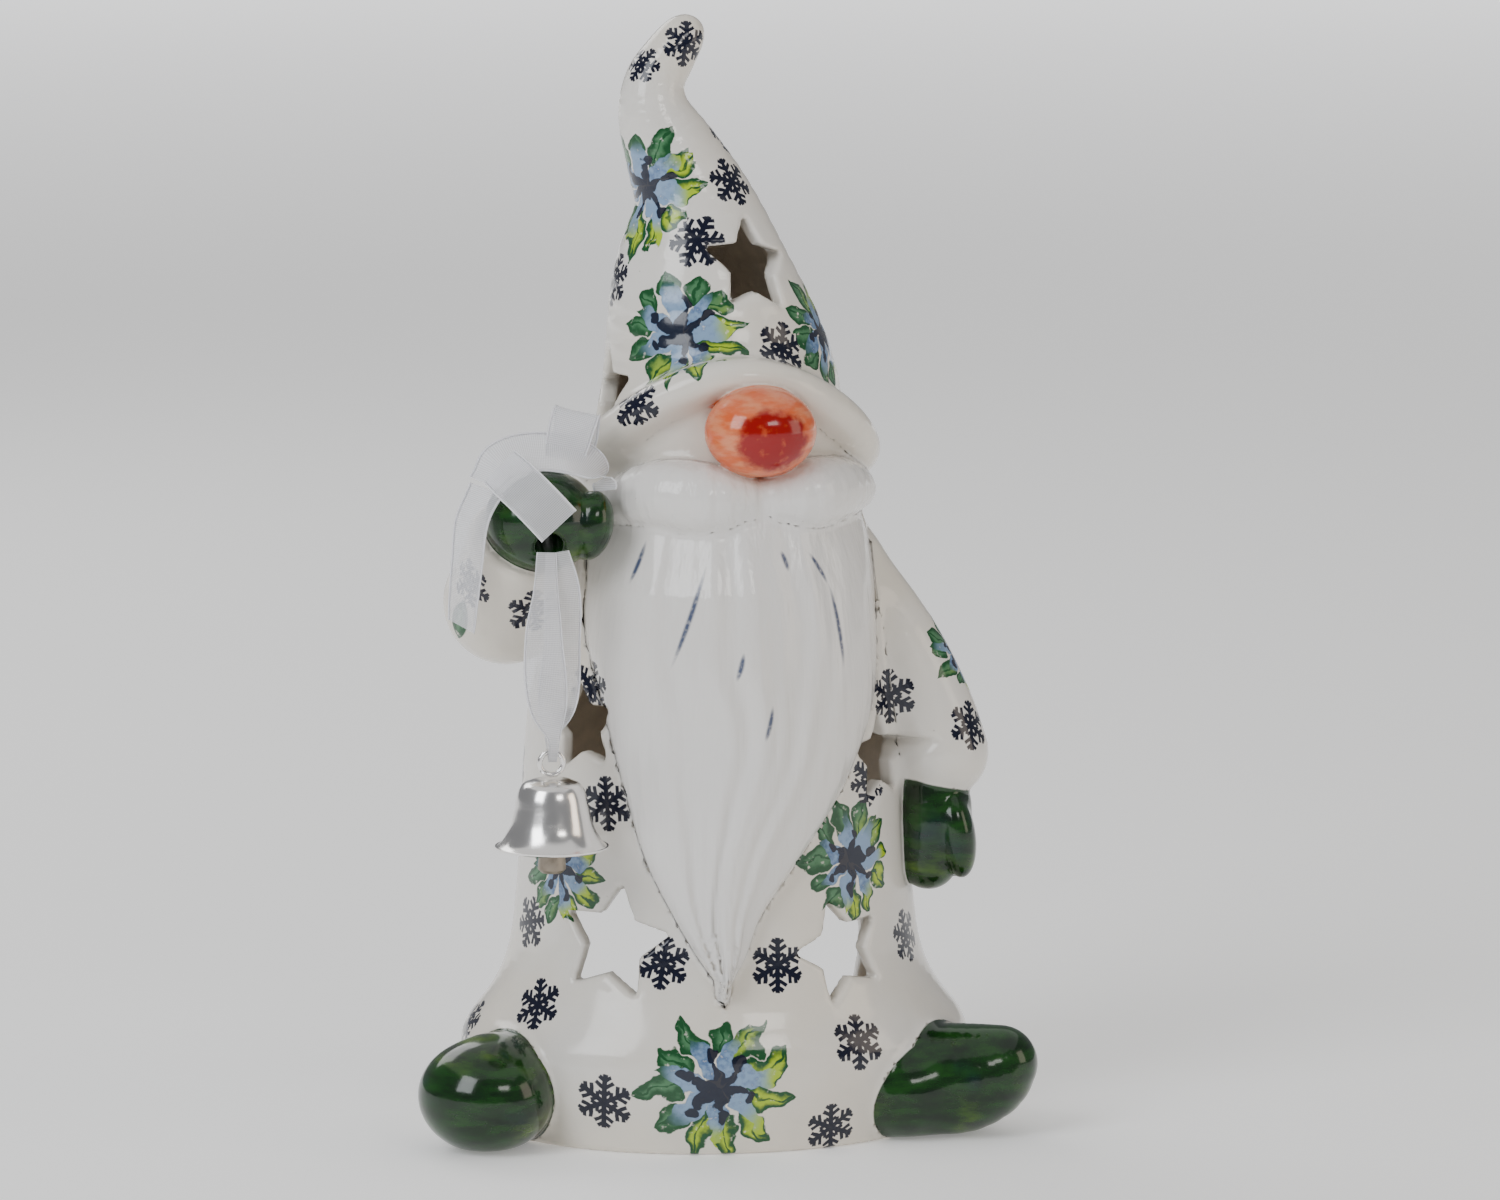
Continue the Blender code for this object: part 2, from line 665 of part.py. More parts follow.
def ribbon_pieces(sheer):
    """The bow's runs lie on the fist; the strands hang from it."""
    c = raised_mitten_place()
    top = c.z + RAISED_MITTEN_HALF_HEIGHT + RIBBON_CLEARANCE + RIBBON_THICKNESS
    front = c.y - RAISED_MITTEN_HALF_HEIGHT - RIBBON_CLEARANCE - RIBBON_THICKNESS
    w = RIBBON_WIDTH
    runs = []
    tail = [(c.x - 0.0085, c.y - 0.0045, top - 0.0002), (c.x - 0.0060, front - 0.0012, c.z + 0.0085),
            (c.x - 0.0015, front - 0.0022, c.z + 0.0015), (c.x + 0.0015, front - 0.0022, c.z - 0.0022)]
    runs.append(ribbon_run("ribbon_front_tail", tail, (w, w, w, w), (1, 0, 0.45), sheer))
    left = [(c.x - 0.0152, c.y - 0.0020, c.z + 0.0065), (c.x - 0.0178, c.y - 0.0045, c.z - 0.0030),
            (c.x - 0.0200, c.y - 0.0030, c.z - 0.0140), (c.x - 0.0210, c.y + 0.0010, c.z - 0.0230)]
    narrow = (w * 0.8, w * 0.7, w * 0.7, w * 0.7)
    runs.append(ribbon_run("ribbon_left_tail", left, narrow, (0.55, -0.8, 0), sheer))
    upper = [(c.x + 0.0010, c.y - 0.0010, top + 0.0020), (c.x + 0.0030, c.y - 0.0025, top + 0.0100),
             (c.x + 0.0105, c.y - 0.0045, top + 0.0090), (c.x + 0.0085, c.y - 0.0030, top + 0.0032)]
    runs.append(ribbon_run("ribbon_upper_loop", upper, (w, w, w, w), (0.3, 1, 0), sheer))
    side_run = [(c.x + 0.0050, c.y - 0.0045, top + 0.0006), (c.x + 0.0100, c.y - 0.0052, top + 0.0006),
                (c.x + 0.0128, c.y - 0.0050, c.z + 0.0095), (c.x + 0.0132, c.y - 0.0040, c.z + 0.0055)]
    narrow = (w * 0.8, w * 0.8, w * 0.8, w * 0.7)
    runs.append(ribbon_run("ribbon_side_loop", side_run, narrow, (0.15, 1, 0), sheer))
    return runs


def strand_pieces(sheer):
    """The two hanging runs and the fold that they make through the bell's loop."""
    start = fist_exit() + Vector((0, -RIBBON_STAND_OFF, 0))
    bend = BELL_WIRE_RADIUS + 2 * RIBBON_CLEARANCE + RIBBON_THICKNESS / 2
    foot = start.z - RIBBON_DROP + FOLD_HEIGHT + RIBBON_CLEARANCE
    runs = []
    for name, shift in (("ribbon_front_strand", -1), ("ribbon_rear_strand", 1)):
        near = start.y + shift * (RIBBON_THICKNESS / 2 + RIBBON_CLEARANCE)
        x = start.x - 0.0004 * shift
        points = [(x, near, start.z), (x + 0.0006 * shift, near, start.z - RIBBON_DROP * 0.33),
                  (x, near, start.z - RIBBON_DROP * 0.66), (start.x, start.y + shift * bend, foot)]
        widths = (RIBBON_WIDTH * 0.62, RIBBON_WIDTH * 0.88, RIBBON_WIDTH * 0.86, FOLD_WIDTH)
        runs.append(ribbon_run(name, points, widths, (1, 0, 0), sheer))
    low = start - Vector((0, 0, RIBBON_DROP))
    turn = [(low.x, low.y - bend, low.z + FOLD_HEIGHT), (low.x, low.y - bend, low.z + bend * 0.4)]
    for i in range(1, 4):
        angle = math.pi * i / 4
        turn.append((low.x, low.y - bend * math.cos(angle), low.z - bend * math.sin(angle)))
    turn += [(low.x, low.y + bend, low.z + bend * 0.4), (low.x, low.y + bend, low.z + FOLD_HEIGHT)]
    runs.append(ribbon_run("ribbon_fold", turn, (FOLD_WIDTH,) * len(turn), (1, 0, 0), sheer, steps=2))
    return runs


# ---- Bell --------------------------------------------------------------


def turned(name, outline, centre, finish, segments=MEDIUM):
    """A solid of revolution about Z: the outline's radius and height pairs form a closed loop."""
    bm = bmesh.new()
    corners = [bm.verts.new((radius, 0.0, z)) for radius, z in outline]
    edges = []
    for i, (radius, _) in enumerate(outline):
        j = (i + 1) % len(outline)
        if radius > 0 or outline[j][0] > 0:
            edges.append(bm.edges.new((corners[i], corners[j])))
    bmesh.ops.spin(bm, geom=corners + edges, cent=(0, 0, 0), axis=(0, 0, 1), angle=2 * math.pi,
                   steps=segments, use_merge=True)
    bmesh.ops.remove_doubles(bm, verts=bm.verts, dist=1e-6)
    bmesh.ops.dissolve_degenerate(bm, dist=1e-7, edges=bm.edges)
    bmesh.ops.translate(bm, verts=bm.verts, vec=centre)
    return finish_mesh(name, bm, finish)


def bell_profile(inset):
    """Radius and drop pairs from the rim up to the shoulder of the bell."""
    span = BELL_RADIUS - BELL_TOP_RADIUS
    rows = ((0.0, 1.0), (0.10, 0.80), (0.30, 0.56), (0.55, 0.34), (0.80, 0.17), (0.94, 0.04))
    return [(BELL_TOP_RADIUS + span * share - inset, BELL_HEIGHT * height) for height, share in rows]


def bell_pieces(loop_place, silver, dull):
    """Bell shell with its loop, and the clapper hanging inside."""
    base = loop_place.z - 2 * BELL_LOOP_RADIUS - BELL_WIRE_RADIUS - GAP - BELL_HEIGHT
    centre = Vector((loop_place.x, loop_place.y, base))
    outside = bell_profile(0.0) + [(BELL_TOP_RADIUS * 0.80, BELL_HEIGHT), (0.0, BELL_HEIGHT)]
    ceiling = BELL_HEIGHT - BELL_WALL * 1.5
    inside = [(0.0, ceiling), (BELL_TOP_RADIUS * 0.80 - BELL_WALL, ceiling)]
    inside += [(radius, height) for radius, height in reversed(bell_profile(BELL_WALL))]
    shell = turned("bell_shell", outside + inside, centre, silver, 32)
    bpy.ops.mesh.primitive_torus_add(
        major_radius=BELL_LOOP_RADIUS, minor_radius=BELL_WIRE_RADIUS, major_segments=MEDIUM, minor_segments=8,
        location=(centre.x, centre.y, loop_place.z - BELL_LOOP_RADIUS),
        rotation=(math.pi / 2, 0, 0))
    loop = bpy.context.object
    loop.name = "bell_loop"
    loop.data.name = "bell_loop"
    loop.data.shade_smooth()
    loop.data.materials.append(silver)
    hook = Vector((centre.x, centre.y, base + ceiling - GAP))
    foot = hook.z - CLAPPER_LENGTH
    stem = CLAPPER_LENGTH - CLAPPER_HEIGHT - GAP
    wire = turned("clapper_wire", [(0.0, 0.0), (BELL_WIRE_RADIUS, 0.0), (BELL_WIRE_RADIUS, stem), (0.0, stem)],
                  Vector((hook.x, hook.y, foot + CLAPPER_HEIGHT + GAP)), dull, 10)
    r, h = CLAPPER_RADIUS, CLAPPER_HEIGHT
    outline = [(0.0, 0.0), (r * 0.78, 0.0), (r, h * 0.30), (r, h * 0.72), (r * 0.6, h), (0.0, h)]
    weight = turned("clapper_weight", outline, Vector((hook.x, hook.y, foot)), dull, SMALL)
    return shell, loop, wire, weight, hook


# ---- Candle ------------------------------------------------------------


def candle_pieces(tin, wax_white, cord):
    """A tealight standing on the lantern's floor."""
    base = Vector((0.0, 0.0, FLOOR + GAP))
    r = CANDLE_RADIUS
    t = CANDLE_CUP_WALL
    section = [(0.0, 0.0), (r, 0.0), (r, CANDLE_HEIGHT), (r - t, CANDLE_HEIGHT), (r - t, t), (0.0, t)]
    cup = turned("tealight_cup", section, base, tin, 32)
    top = CANDLE_HEIGHT - 0.002
    edge = r - t - GAP
    bore = WICK_RADIUS + GAP
    heel = 0.0022
    section = [(0.0, t + GAP), (edge, t + GAP), (edge, top), (bore, top - 0.0008), (bore, heel), (0.0, heel)]
    wax = turned("tealight_wax", section, base, wax_white, 32)
    foot = heel + GAP
    tip = top + WICK_HEIGHT * 0.6
    section = [(0.0, foot), (WICK_RADIUS, foot), (WICK_RADIUS, tip), (0.0, tip)]
    wick = turned("wick", section, base, cord, 8)
    return cup, wax, wick


def main():
    """Build every piece and set the joints' pivots."""
    clear_scene()
    white = material("white_glaze", (0.86, 0.84, 0.78), 0.12)
    green = material("green_glaze", (0.03, 0.14, 0.05), 0.12)
    red = material("red_glaze", (0.75, 0.16, 0.05), 0.15)
    sheer = material("sheer_ribbon", (0.86, 0.87, 0.90), 0.45)
    silver = material("silvered_bell", (0.80, 0.79, 0.76), 0.15, 1.0)
    dull = material("dull_metal", (0.42, 0.40, 0.36), 0.40, 1.0)
    tin = material("candle_cup", (0.80, 0.80, 0.80), 0.30, 1.0)
    wax_white = material("candle_wax", (0.90, 0.87, 0.78), 0.40)
    cord = material("wick_cotton", (0.80, 0.75, 0.62), 0.80)

    robe_shell(white)
    hat_shell(white)
    robe_space = robe_form("robe_space", -GAP, -0.01, ROBE_SEAM_Z + GAP * 0.5, True)
    hat_space = tube("hat_space", hat_space_rows(), ROUND, None, guide=True)
    core = (robe_space, hat_space)

    nose = nose_egg("nose", red)
    nose_space = nose_egg("nose_space", None, GAP)
    cut(nose, *core)
    moustache, right_lobe = moustache_lobes(white)
    lobe_spaces = moustache_lobes(None, GAP)
    join(moustache, right_lobe)
    cut(moustache, *core, nose_space)
    brim = brim_ring("hat_brim", white)
    cut(brim, *core, nose_space, *lobe_spaces)

    raised, upper_arm = raised_limbs(white)
    raised_space = raised_limbs(None, GAP)
    join(raised, upper_arm)
    cut(raised, robe_space)
    cut(raised_mitten(green), *raised_space)
    hanging = hanging_limb(white)
    hanging_space = hanging_limb(None, GAP)
    cut(hanging, robe_space)
    cut(hanging_mitten(green), hanging_space, robe_space)
    beard = beard_form("beard", white)
    cut(beard, *lobe_spaces, raised_space[1], hanging_space, robe_space)
    cut(boot("left_boot", -1, LEFT_HEEL_FORWARD, LEFT_BOOT_LENGTH, 38.0, 0.004, green), robe_space)
    cut(boot("right_boot", 1, RIGHT_HEEL_FORWARD, RIGHT_BOOT_LENGTH, 72.0, 0.010, green), robe_space)

    ribbon_pieces(sheer)
    fist_pivot = pivot("fist_pivot", fist_exit() + Vector((0, -RIBBON_STAND_OFF, 0)))
    strands = strand_pieces(sheer)
    loop_place = fist_pivot.location - Vector((0, 0, RIBBON_DROP))
    bell_pivot = pivot("bell_pivot", loop_place)
    shell, loop, wire, weight, hook = bell_pieces(loop_place, silver, dull)
    clapper_pivot = pivot("clapper_pivot", hook)
    hang_on(fist_pivot, *strands)
    hang_on(bell_pivot, shell, loop)
    hang_on(clapper_pivot, wire, weight)
    candle_pieces(tin, wax_white, cord)


main()
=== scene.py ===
"""Looks of the stoneware tomte lantern.

Fused glazed clay, stamped flowers and snowflakes, organza ribbon, spun bell and tealight.
"""

import logging
import math
from dataclasses import dataclass
from enum import Enum
from typing import Any, Sequence

import bmesh
import bpy
import numpy as np
from mathutils import Matrix, Vector
from mathutils.bvhtree import BVHTree


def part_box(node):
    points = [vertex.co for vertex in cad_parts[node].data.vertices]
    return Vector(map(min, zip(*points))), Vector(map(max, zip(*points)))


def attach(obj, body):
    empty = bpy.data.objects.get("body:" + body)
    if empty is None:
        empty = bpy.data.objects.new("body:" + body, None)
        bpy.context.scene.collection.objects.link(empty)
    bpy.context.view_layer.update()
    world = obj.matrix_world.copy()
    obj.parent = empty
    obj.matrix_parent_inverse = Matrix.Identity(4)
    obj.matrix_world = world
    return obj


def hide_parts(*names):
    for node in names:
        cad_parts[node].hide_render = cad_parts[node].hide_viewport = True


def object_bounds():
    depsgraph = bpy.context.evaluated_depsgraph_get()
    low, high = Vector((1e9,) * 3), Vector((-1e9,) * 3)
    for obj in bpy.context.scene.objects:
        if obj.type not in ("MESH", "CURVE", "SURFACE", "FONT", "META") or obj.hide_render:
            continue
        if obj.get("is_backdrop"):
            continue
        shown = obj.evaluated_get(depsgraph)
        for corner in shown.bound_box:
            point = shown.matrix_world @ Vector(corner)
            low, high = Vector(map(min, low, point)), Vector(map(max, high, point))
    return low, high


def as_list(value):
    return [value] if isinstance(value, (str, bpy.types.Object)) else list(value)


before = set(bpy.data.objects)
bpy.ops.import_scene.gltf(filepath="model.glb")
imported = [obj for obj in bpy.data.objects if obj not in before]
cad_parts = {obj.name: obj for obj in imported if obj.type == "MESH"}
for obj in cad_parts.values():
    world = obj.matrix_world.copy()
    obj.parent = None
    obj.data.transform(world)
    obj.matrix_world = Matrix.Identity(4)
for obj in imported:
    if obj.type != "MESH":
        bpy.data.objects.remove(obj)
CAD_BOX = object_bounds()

LOG = logging.getLogger("tomte")
MM = 0.001
FAR = 1.0
GREEN_LUMPS = ("raised_mitten", "hanging_mitten", "left_boot", "right_boot")
HOLLOW_REACH = 0.0022           # how far out a hollow is felt for
RIM_REACH = 0.0012              # how far in a rim is felt for


# ---- Curves and fields ---------------------------------------------------


def smooth_rows(stations: Sequence[Sequence[float]], steps: int) -> np.ndarray:
    """Run a smooth curve through rows of numbers.

    Args:
        stations: Rows of equal length, in order.
        steps: Points made for each stretch between two rows.

    Returns:
        The curve's rows, the last station included.
    """
    rows = [np.array(s, float) for s in stations]
    rows = [2 * rows[0] - rows[1]] + rows + [2 * rows[-1] - rows[-2]]
    out = []
    for i in range(1, len(rows) - 2):
        a, b, c, d = rows[i - 1:i + 3]
        for k in range(steps):
            t = k / steps
            out.append(0.5 * (2 * b + (c - a) * t + (2 * a - 5 * b + 4 * c - d) * t * t
                              + (3 * b - a - 3 * c + d) * t ** 3))
    out.append(rows[-2])
    return np.array(out)


def soft_min(a: np.ndarray, b: np.ndarray, reach: float) -> np.ndarray:
    """Union of two distance fields with a fillet of about the given reach."""
    share = np.clip(0.5 + 0.5 * (b - a) / reach, 0.0, 1.0)
    return b + (a - b) * share - reach * share * (1 - share)


def soft_max(a: np.ndarray, b: np.ndarray, reach: float) -> np.ndarray:
    """Overlap of two distance fields with a rounded edge."""
    return -soft_min(-a, -b, reach)


@dataclass
class Form:
    """One clay form: a distance field with a box outside which it has no effect."""

    name: str
    fillet: float = 0.002

    def box(self) -> tuple[np.ndarray, np.ndarray]:
        """Lowest and highest corner of the form."""
        raise NotImplementedError

    def distance(self, p: np.ndarray) -> np.ndarray:
        """Signed distance of each point, negative inside."""
        raise NotImplementedError


@dataclass
class Egg(Form):
    """An ellipsoid, turned about the vertical and tilted in the front plane."""

    centre: tuple[float, float, float] = (0.0, 0.0, 0.0)
    half: tuple[float, float, float] = (0.01, 0.01, 0.01)
    turn: float = 0.0
    tilt: float = 0.0

    def box(self) -> tuple[np.ndarray, np.ndarray]:
        """A cube round the egg."""
        reach = max(self.half)
        centre = np.array(self.centre)
        return centre - reach, centre + reach

    def distance(self, p: np.ndarray) -> np.ndarray:
        """First-order distance to the ellipsoid."""
        turn = Matrix.Rotation(self.turn, 3, 'Z') @ Matrix.Rotation(self.tilt, 3, 'Y')
        q = (p - np.array(self.centre)) @ np.array(turn)
        half = np.array(self.half)
        near = np.sqrt(((q / half) ** 2).sum(1)) + 1e-9
        slope = np.sqrt(((q / half ** 2) ** 2).sum(1)) + 1e-9
        return near * (near - 1) / slope


@dataclass
class Limb(Form):
    """Balls swept along a path: rows hold x, y, z and the radius there."""

    rows: Any = None

    def box(self) -> tuple[np.ndarray, np.ndarray]:
        """Box of the path, grown by its radii."""
        rows = np.array(self.rows)
        return (rows[:, :3] - rows[:, 3:]).min(0), (rows[:, :3] + rows[:, 3:]).max(0)

    def distance(self, p: np.ndarray) -> np.ndarray:
        """Distance to the nearest stretch of the path."""
        rows = np.array(self.rows)
        best = np.full(len(p), FAR)
        for a, b in zip(rows, rows[1:]):
            along = b[:3] - a[:3]
            offset = p - a[:3]
            share = np.clip(offset @ along / (along @ along), 0.0, 1.0)
            gap = offset - share[:, None] * along
            radius = a[3] + share * (b[3] - a[3])
            best = np.minimum(best, np.sqrt((gap ** 2).sum(1)) - radius)
        return best


@dataclass
class Ring(Limb):
    """A closed limb whose section is squashed in height."""

    def distance(self, p: np.ndarray) -> np.ndarray:
        """Distance to the closed path."""
        rows = np.array(self.rows)
        closed = Limb(self.name, self.fillet, np.vstack([rows, rows[:1]]))
        return closed.distance(p)


@dataclass
class Robe(Form):
    """Level ellipses from the foot to the neck."""

    sections: tuple = (
        (0.0, 0.0520, 0.0415),
        (0.0200, 0.0580, 0.0458),
        (0.0420, 0.0468, 0.0395),
        (0.1000, 0.0418, 0.0362),
        (0.1500, 0.0295, 0.0290),
    )
    neck_x: float = 0.0015
    lean_from: float = 0.100
    top: float = 0.1500

    def __post_init__(self) -> None:
        """Work out the outline's table once."""
        self.table = smooth_rows(self.sections, 12)

    def box(self) -> tuple[np.ndarray, np.ndarray]:
        """Box of the widest section."""
        width, depth = self.table[:, 1].max(), self.table[:, 2].max()
        return np.array([-width, -depth, -0.002]), np.array([width, depth, self.top + 0.004])

    def section(self, z: np.ndarray) -> tuple[np.ndarray, np.ndarray]:
        """Half width and half depth at each height."""
        return np.interp(z, self.table[:, 0], self.table[:, 1]), np.interp(z, self.table[:, 0],
                self.table[:, 2])

    def axis(self, z: np.ndarray) -> np.ndarray:
        """Sideways place of the middle at each height."""
        return self.neck_x * np.clip((z - self.lean_from) / (self.top - self.lean_from), 0.0, 1.0)

    def distance(self, p: np.ndarray) -> np.ndarray:
        """First-order distance to the outline, closed at the neck."""
        z = p[:, 2]
        width, depth = self.section(z)
        x = (p[:, 0] - self.axis(z)) / width
        y = p[:, 1] / depth
        near = np.sqrt(x * x + y * y) + 1e-9
        slope = np.sqrt((x / width) ** 2 + (y / depth) ** 2) + 1e-9
        side = near * (near - 1) / slope
        return np.maximum(side, z - self.top - 0.003)

    def front(self, x: float, z: float, out: float = 0.0) -> tuple[float, float, float]:
        """The point on the front of the robe, pushed out in depth."""
        width, depth = self.section(np.array([z]))
        share = np.clip((x - self.axis(np.array([z]))[0]) / width[0], -0.999, 0.999)
        return x, float(-depth[0] * math.sqrt(1 - share * share) - out), z


@dataclass
class Beard(Form):
    """A crowned tongue of clay on the robe's front, with soft grooves that run to its tip."""

    robe: Robe = None
    top: float = 0.1500
    length: float = 0.1105
    half_width: float = 0.0330
    crown: float = 0.0088
    groove: float = 0.00085
    outline: tuple = (
        (0.0, 0.0015, 0.72), (0.12, 0.0005, 0.97), (0.30, 0.0005, 1.0), (0.46, 0.0012, 0.93),
        (0.62, -0.0008, 0.75), (0.76, -0.0042, 0.52), (0.87, -0.0058, 0.30), (0.95, -0.0052, 0.17),
        (1.0, -0.0050, 0.06),
    )

    def __post_init__(self) -> None:
        """Work out the outline's table once."""
        self.table = smooth_rows(self.outline, 8)

    def box(self) -> tuple[np.ndarray, np.ndarray]:
        """Box in front of the robe's middle."""
        low = np.array([-self.half_width - 0.004, -0.060, self.top - self.length - 0.003])
        return low, np.array([self.half_width + 0.004, 0.0, self.top + 0.006])

    def flow(self, p: np.ndarray) -> tuple[np.ndarray, np.ndarray]:
        """Share down the beard, and share across it from its middle line."""
        down = np.clip((self.top - p[:, 2]) / self.length, -0.2, 1.1)
        middle = np.interp(down, self.table[:, 0], self.table[:, 1])
        half = self.half_width * np.interp(down, self.table[:, 0], self.table[:, 2])
        return down, (p[:, 0] - middle) / half

    def distance(self, p: np.ndarray) -> np.ndarray:
        """The robe's field, raised under the beard's crown."""
        down, across = self.flow(p)
        half = self.half_width * np.interp(down, self.table[:, 0], self.table[:, 2])
        edge = np.abs(across)
        body = self.crown * (0.60 + 0.40 * np.sin(np.pi * np.clip(down + 0.22, 0, 1)))
        body *= 0.45 + 0.55 * np.clip(down / 0.22, 0, 1) ** 0.7
        rise = body * np.sqrt(np.clip(1 - edge ** 3.2, 0, 1))
        rise = np.where(edge < 1, rise, -(edge - 1) * half * 1.4)
        wobble = 0.55 * np.sin(9.0 * down + 4.0 * across) + 0.35 * np.sin(21.0 * down - 3.0 * across)
        strands = np.sin(17.0 * across + wobble) + 0.55 * np.sin(29.0 * across + 1.7 * wobble + 1.0)
        lock = np.sin(5.5 * across + 1.2 + 0.8 * np.sin(5 * down))
        relief = self.groove * (0.55 * strands + 1.1 * lock) * np.clip(1.15 - edge, 0,
                1) * np.clip(down * 6, 0.15, 1)
        over_end = np.maximum(0.0, down - 1.0) * self.length
        over_top = np.maximum(0.0, p[:, 2] - self.top)
        field_value = self.robe.distance(p) - np.where(edge < 1, rise + relief, rise)
        return np.where(p[:, 1] < 0, field_value, FAR) + over_end + over_top


@dataclass
class Star:
    """A five-pointed piercing, facing straight out of the wall."""

    centre: np.ndarray
    out: np.ndarray
    radius: float
    roll: float
    depth: float = 0.011
    waist: float = 0.52

    def distance(self, p: np.ndarray) -> np.ndarray:
        """Distance to the star prism with slightly softened points."""
        up = np.array([0, 0, 1.0]) - self.out * self.out[2]
        up /= np.linalg.norm(up)
        right = np.cross(up, self.out)
        q = p - self.centre
        angle = np.arctan2(q @ right, q @ up) - self.roll
        reach = np.sqrt((q @ right) ** 2 + (q @ up) ** 2)
        sector = 2 * math.pi / 5
        angle = np.abs((angle + sector / 2) % sector - sector / 2)
        x, y = reach * np.sin(angle), reach * np.cos(angle)
        soften = 0.0006
        size = self.radius - soften
        corner = np.array([math.sin(sector / 2), math.cos(sector / 2)]) * size * self.waist
        edge = corner - np.array([0.0, size])
        share = np.clip((x * edge[0] + (y - size) * edge[1]) / (edge @ edge), 0, 1)
        gap = np.sqrt((x - share * edge[0]) ** 2 + (y - size - share * edge[1]) ** 2)
        inside = x * edge[1] - (y - size) * edge[0] > 0
        side = np.where(inside, -gap, gap) - soften
        return np.maximum(side, np.abs(q @ self.out) - self.depth)


# ---- Surface from a field --------------------------------------------------


def net(values: np.ndarray, low: np.ndarray, step: float) -> tuple[np.ndarray, np.ndarray]:
    """Make the surface where a sampled field is zero.

    Args:
        values: Field on a grid, negative inside.
        low: Place of the grid's first corner.
        step: Side of a grid cell.

    Returns:
        Vertices, and quads as rows of four vertex numbers that face outward.
    """
    inside = values < 0
    cells = tuple(n - 1 for n in values.shape)
    count = np.zeros(cells, np.uint8)
    corners = [(i, j, k) for i in (0, 1) for j in (0, 1) for k in (0, 1)]
    for i, j, k in corners:
        count += inside[i:i + cells[0], j:j + cells[1], k:k + cells[2]]
    active = (count > 0) & (count < 8)
    index = np.argwhere(active)
    ids = np.full(cells, -1, np.int64)
    ids[active] = np.arange(len(index))
    total = np.zeros((len(index), 3))
    crossings = np.zeros(len(index))
    for a in corners:
        for axis in range(3):
            if a[axis]:
                continue
            b = tuple(1 if n == axis else a[n] for n in range(3))
            va = values[tuple((index + a).T)]
            vb = values[tuple((index + b).T)]
            crossed = (va < 0) != (vb < 0)
            share = np.where(crossed, va / np.where(crossed, va - vb, 1.0), 0.0)
            place = np.array(a, float) + share[:, None] * (np.array(b) - np.array(a))
            total += place * crossed[:, None]
            crossings += crossed
    vertices = low + step * (index + total / crossings[:, None])
    quads = []
    for axis in range(3):
        side_b, side_c = (axis + 1) % 3, (axis + 2) % 3
        ahead = [slice(None)] * 3
        behind = [slice(None)] * 3
        ahead[axis], behind[axis] = slice(1, None), slice(None, -1)
        crossed = inside[tuple(behind)] != inside[tuple(ahead)]
        crossed[tuple(0 if n in (side_b,) else slice(None) for n in range(3))] = False
        crossed[tuple(0 if n in (side_c,) else slice(None) for n in range(3))] = False
        crossed[tuple(-1 if n in (side_b,) else slice(None) for n in range(3))] = False
        crossed[tuple(-1 if n in (side_c,) else slice(None) for n in range(3))] = False
        at = np.argwhere(crossed)
        step_b, step_c = np.eye(3, dtype=int)[side_b], np.eye(3, dtype=int)[side_c]
        ring = [ids[tuple((at - step_b - step_c).T)], ids[tuple((at - step_c).T)],
                ids[tuple(at.T)], ids[tuple((at - step_b).T)]]
        faces = np.stack(ring, 1)
        outward = inside[tuple(at.T)]
        faces[~outward] = faces[~outward][:, ::-1]
        quads.append(faces)
    return vertices, np.vstack(quads)


def slope(function: Any, p: np.ndarray, step: float = 0.00015) -> np.ndarray:
    """Gradient of a field at each point by central differences."""
    parts = []
    for axis in range(3):
        shift = np.zeros(3)
        shift[axis] = step
        parts.append((function(p + shift) - function(p - shift)) / (2 * step))
    return np.stack(parts, 1)


def pull(function: Any, p: np.ndarray, limit: float) -> np.ndarray:
    """Move points onto the surface where a field is zero, each step no longer than a limit."""
    lean = slope(function, p)
    size = (lean ** 2).sum(1) + 1e-6
    step = -(function(p) / size)[:, None] * lean
    length = np.sqrt((step ** 2).sum(1)) + 1e-12
    return p + step * np.minimum(1.0, limit / length)[:, None]


def make_object(name: str, vertices: np.ndarray, faces: Any, smooth: bool = True) -> bpy.types.Object:
    """Make a mesh object at the origin from vertices and faces."""
    mesh = bpy.data.meshes.new(name)
    if isinstance(faces, np.ndarray):
        side = faces.shape[1]
        mesh.vertices.add(len(vertices))
        mesh.vertices.foreach_set("co", np.asarray(vertices, np.float32).ravel())
        mesh.loops.add(faces.size)
        mesh.loops.foreach_set("vertex_index", faces.astype(np.int32).ravel())
        mesh.polygons.add(len(faces))
        mesh.polygons.foreach_set("loop_start", np.arange(0, faces.size, side, dtype=np.int32))
        mesh.update(calc_edges=True)
    else:
        mesh.from_pydata([tuple(v) for v in vertices], [], faces)
    if smooth:
        mesh.shade_smooth()
    made = bpy.data.objects.new(name, mesh)
    bpy.context.scene.collection.objects.link(made)
    return made


# ---- The clay figure --------------------------------------------------------


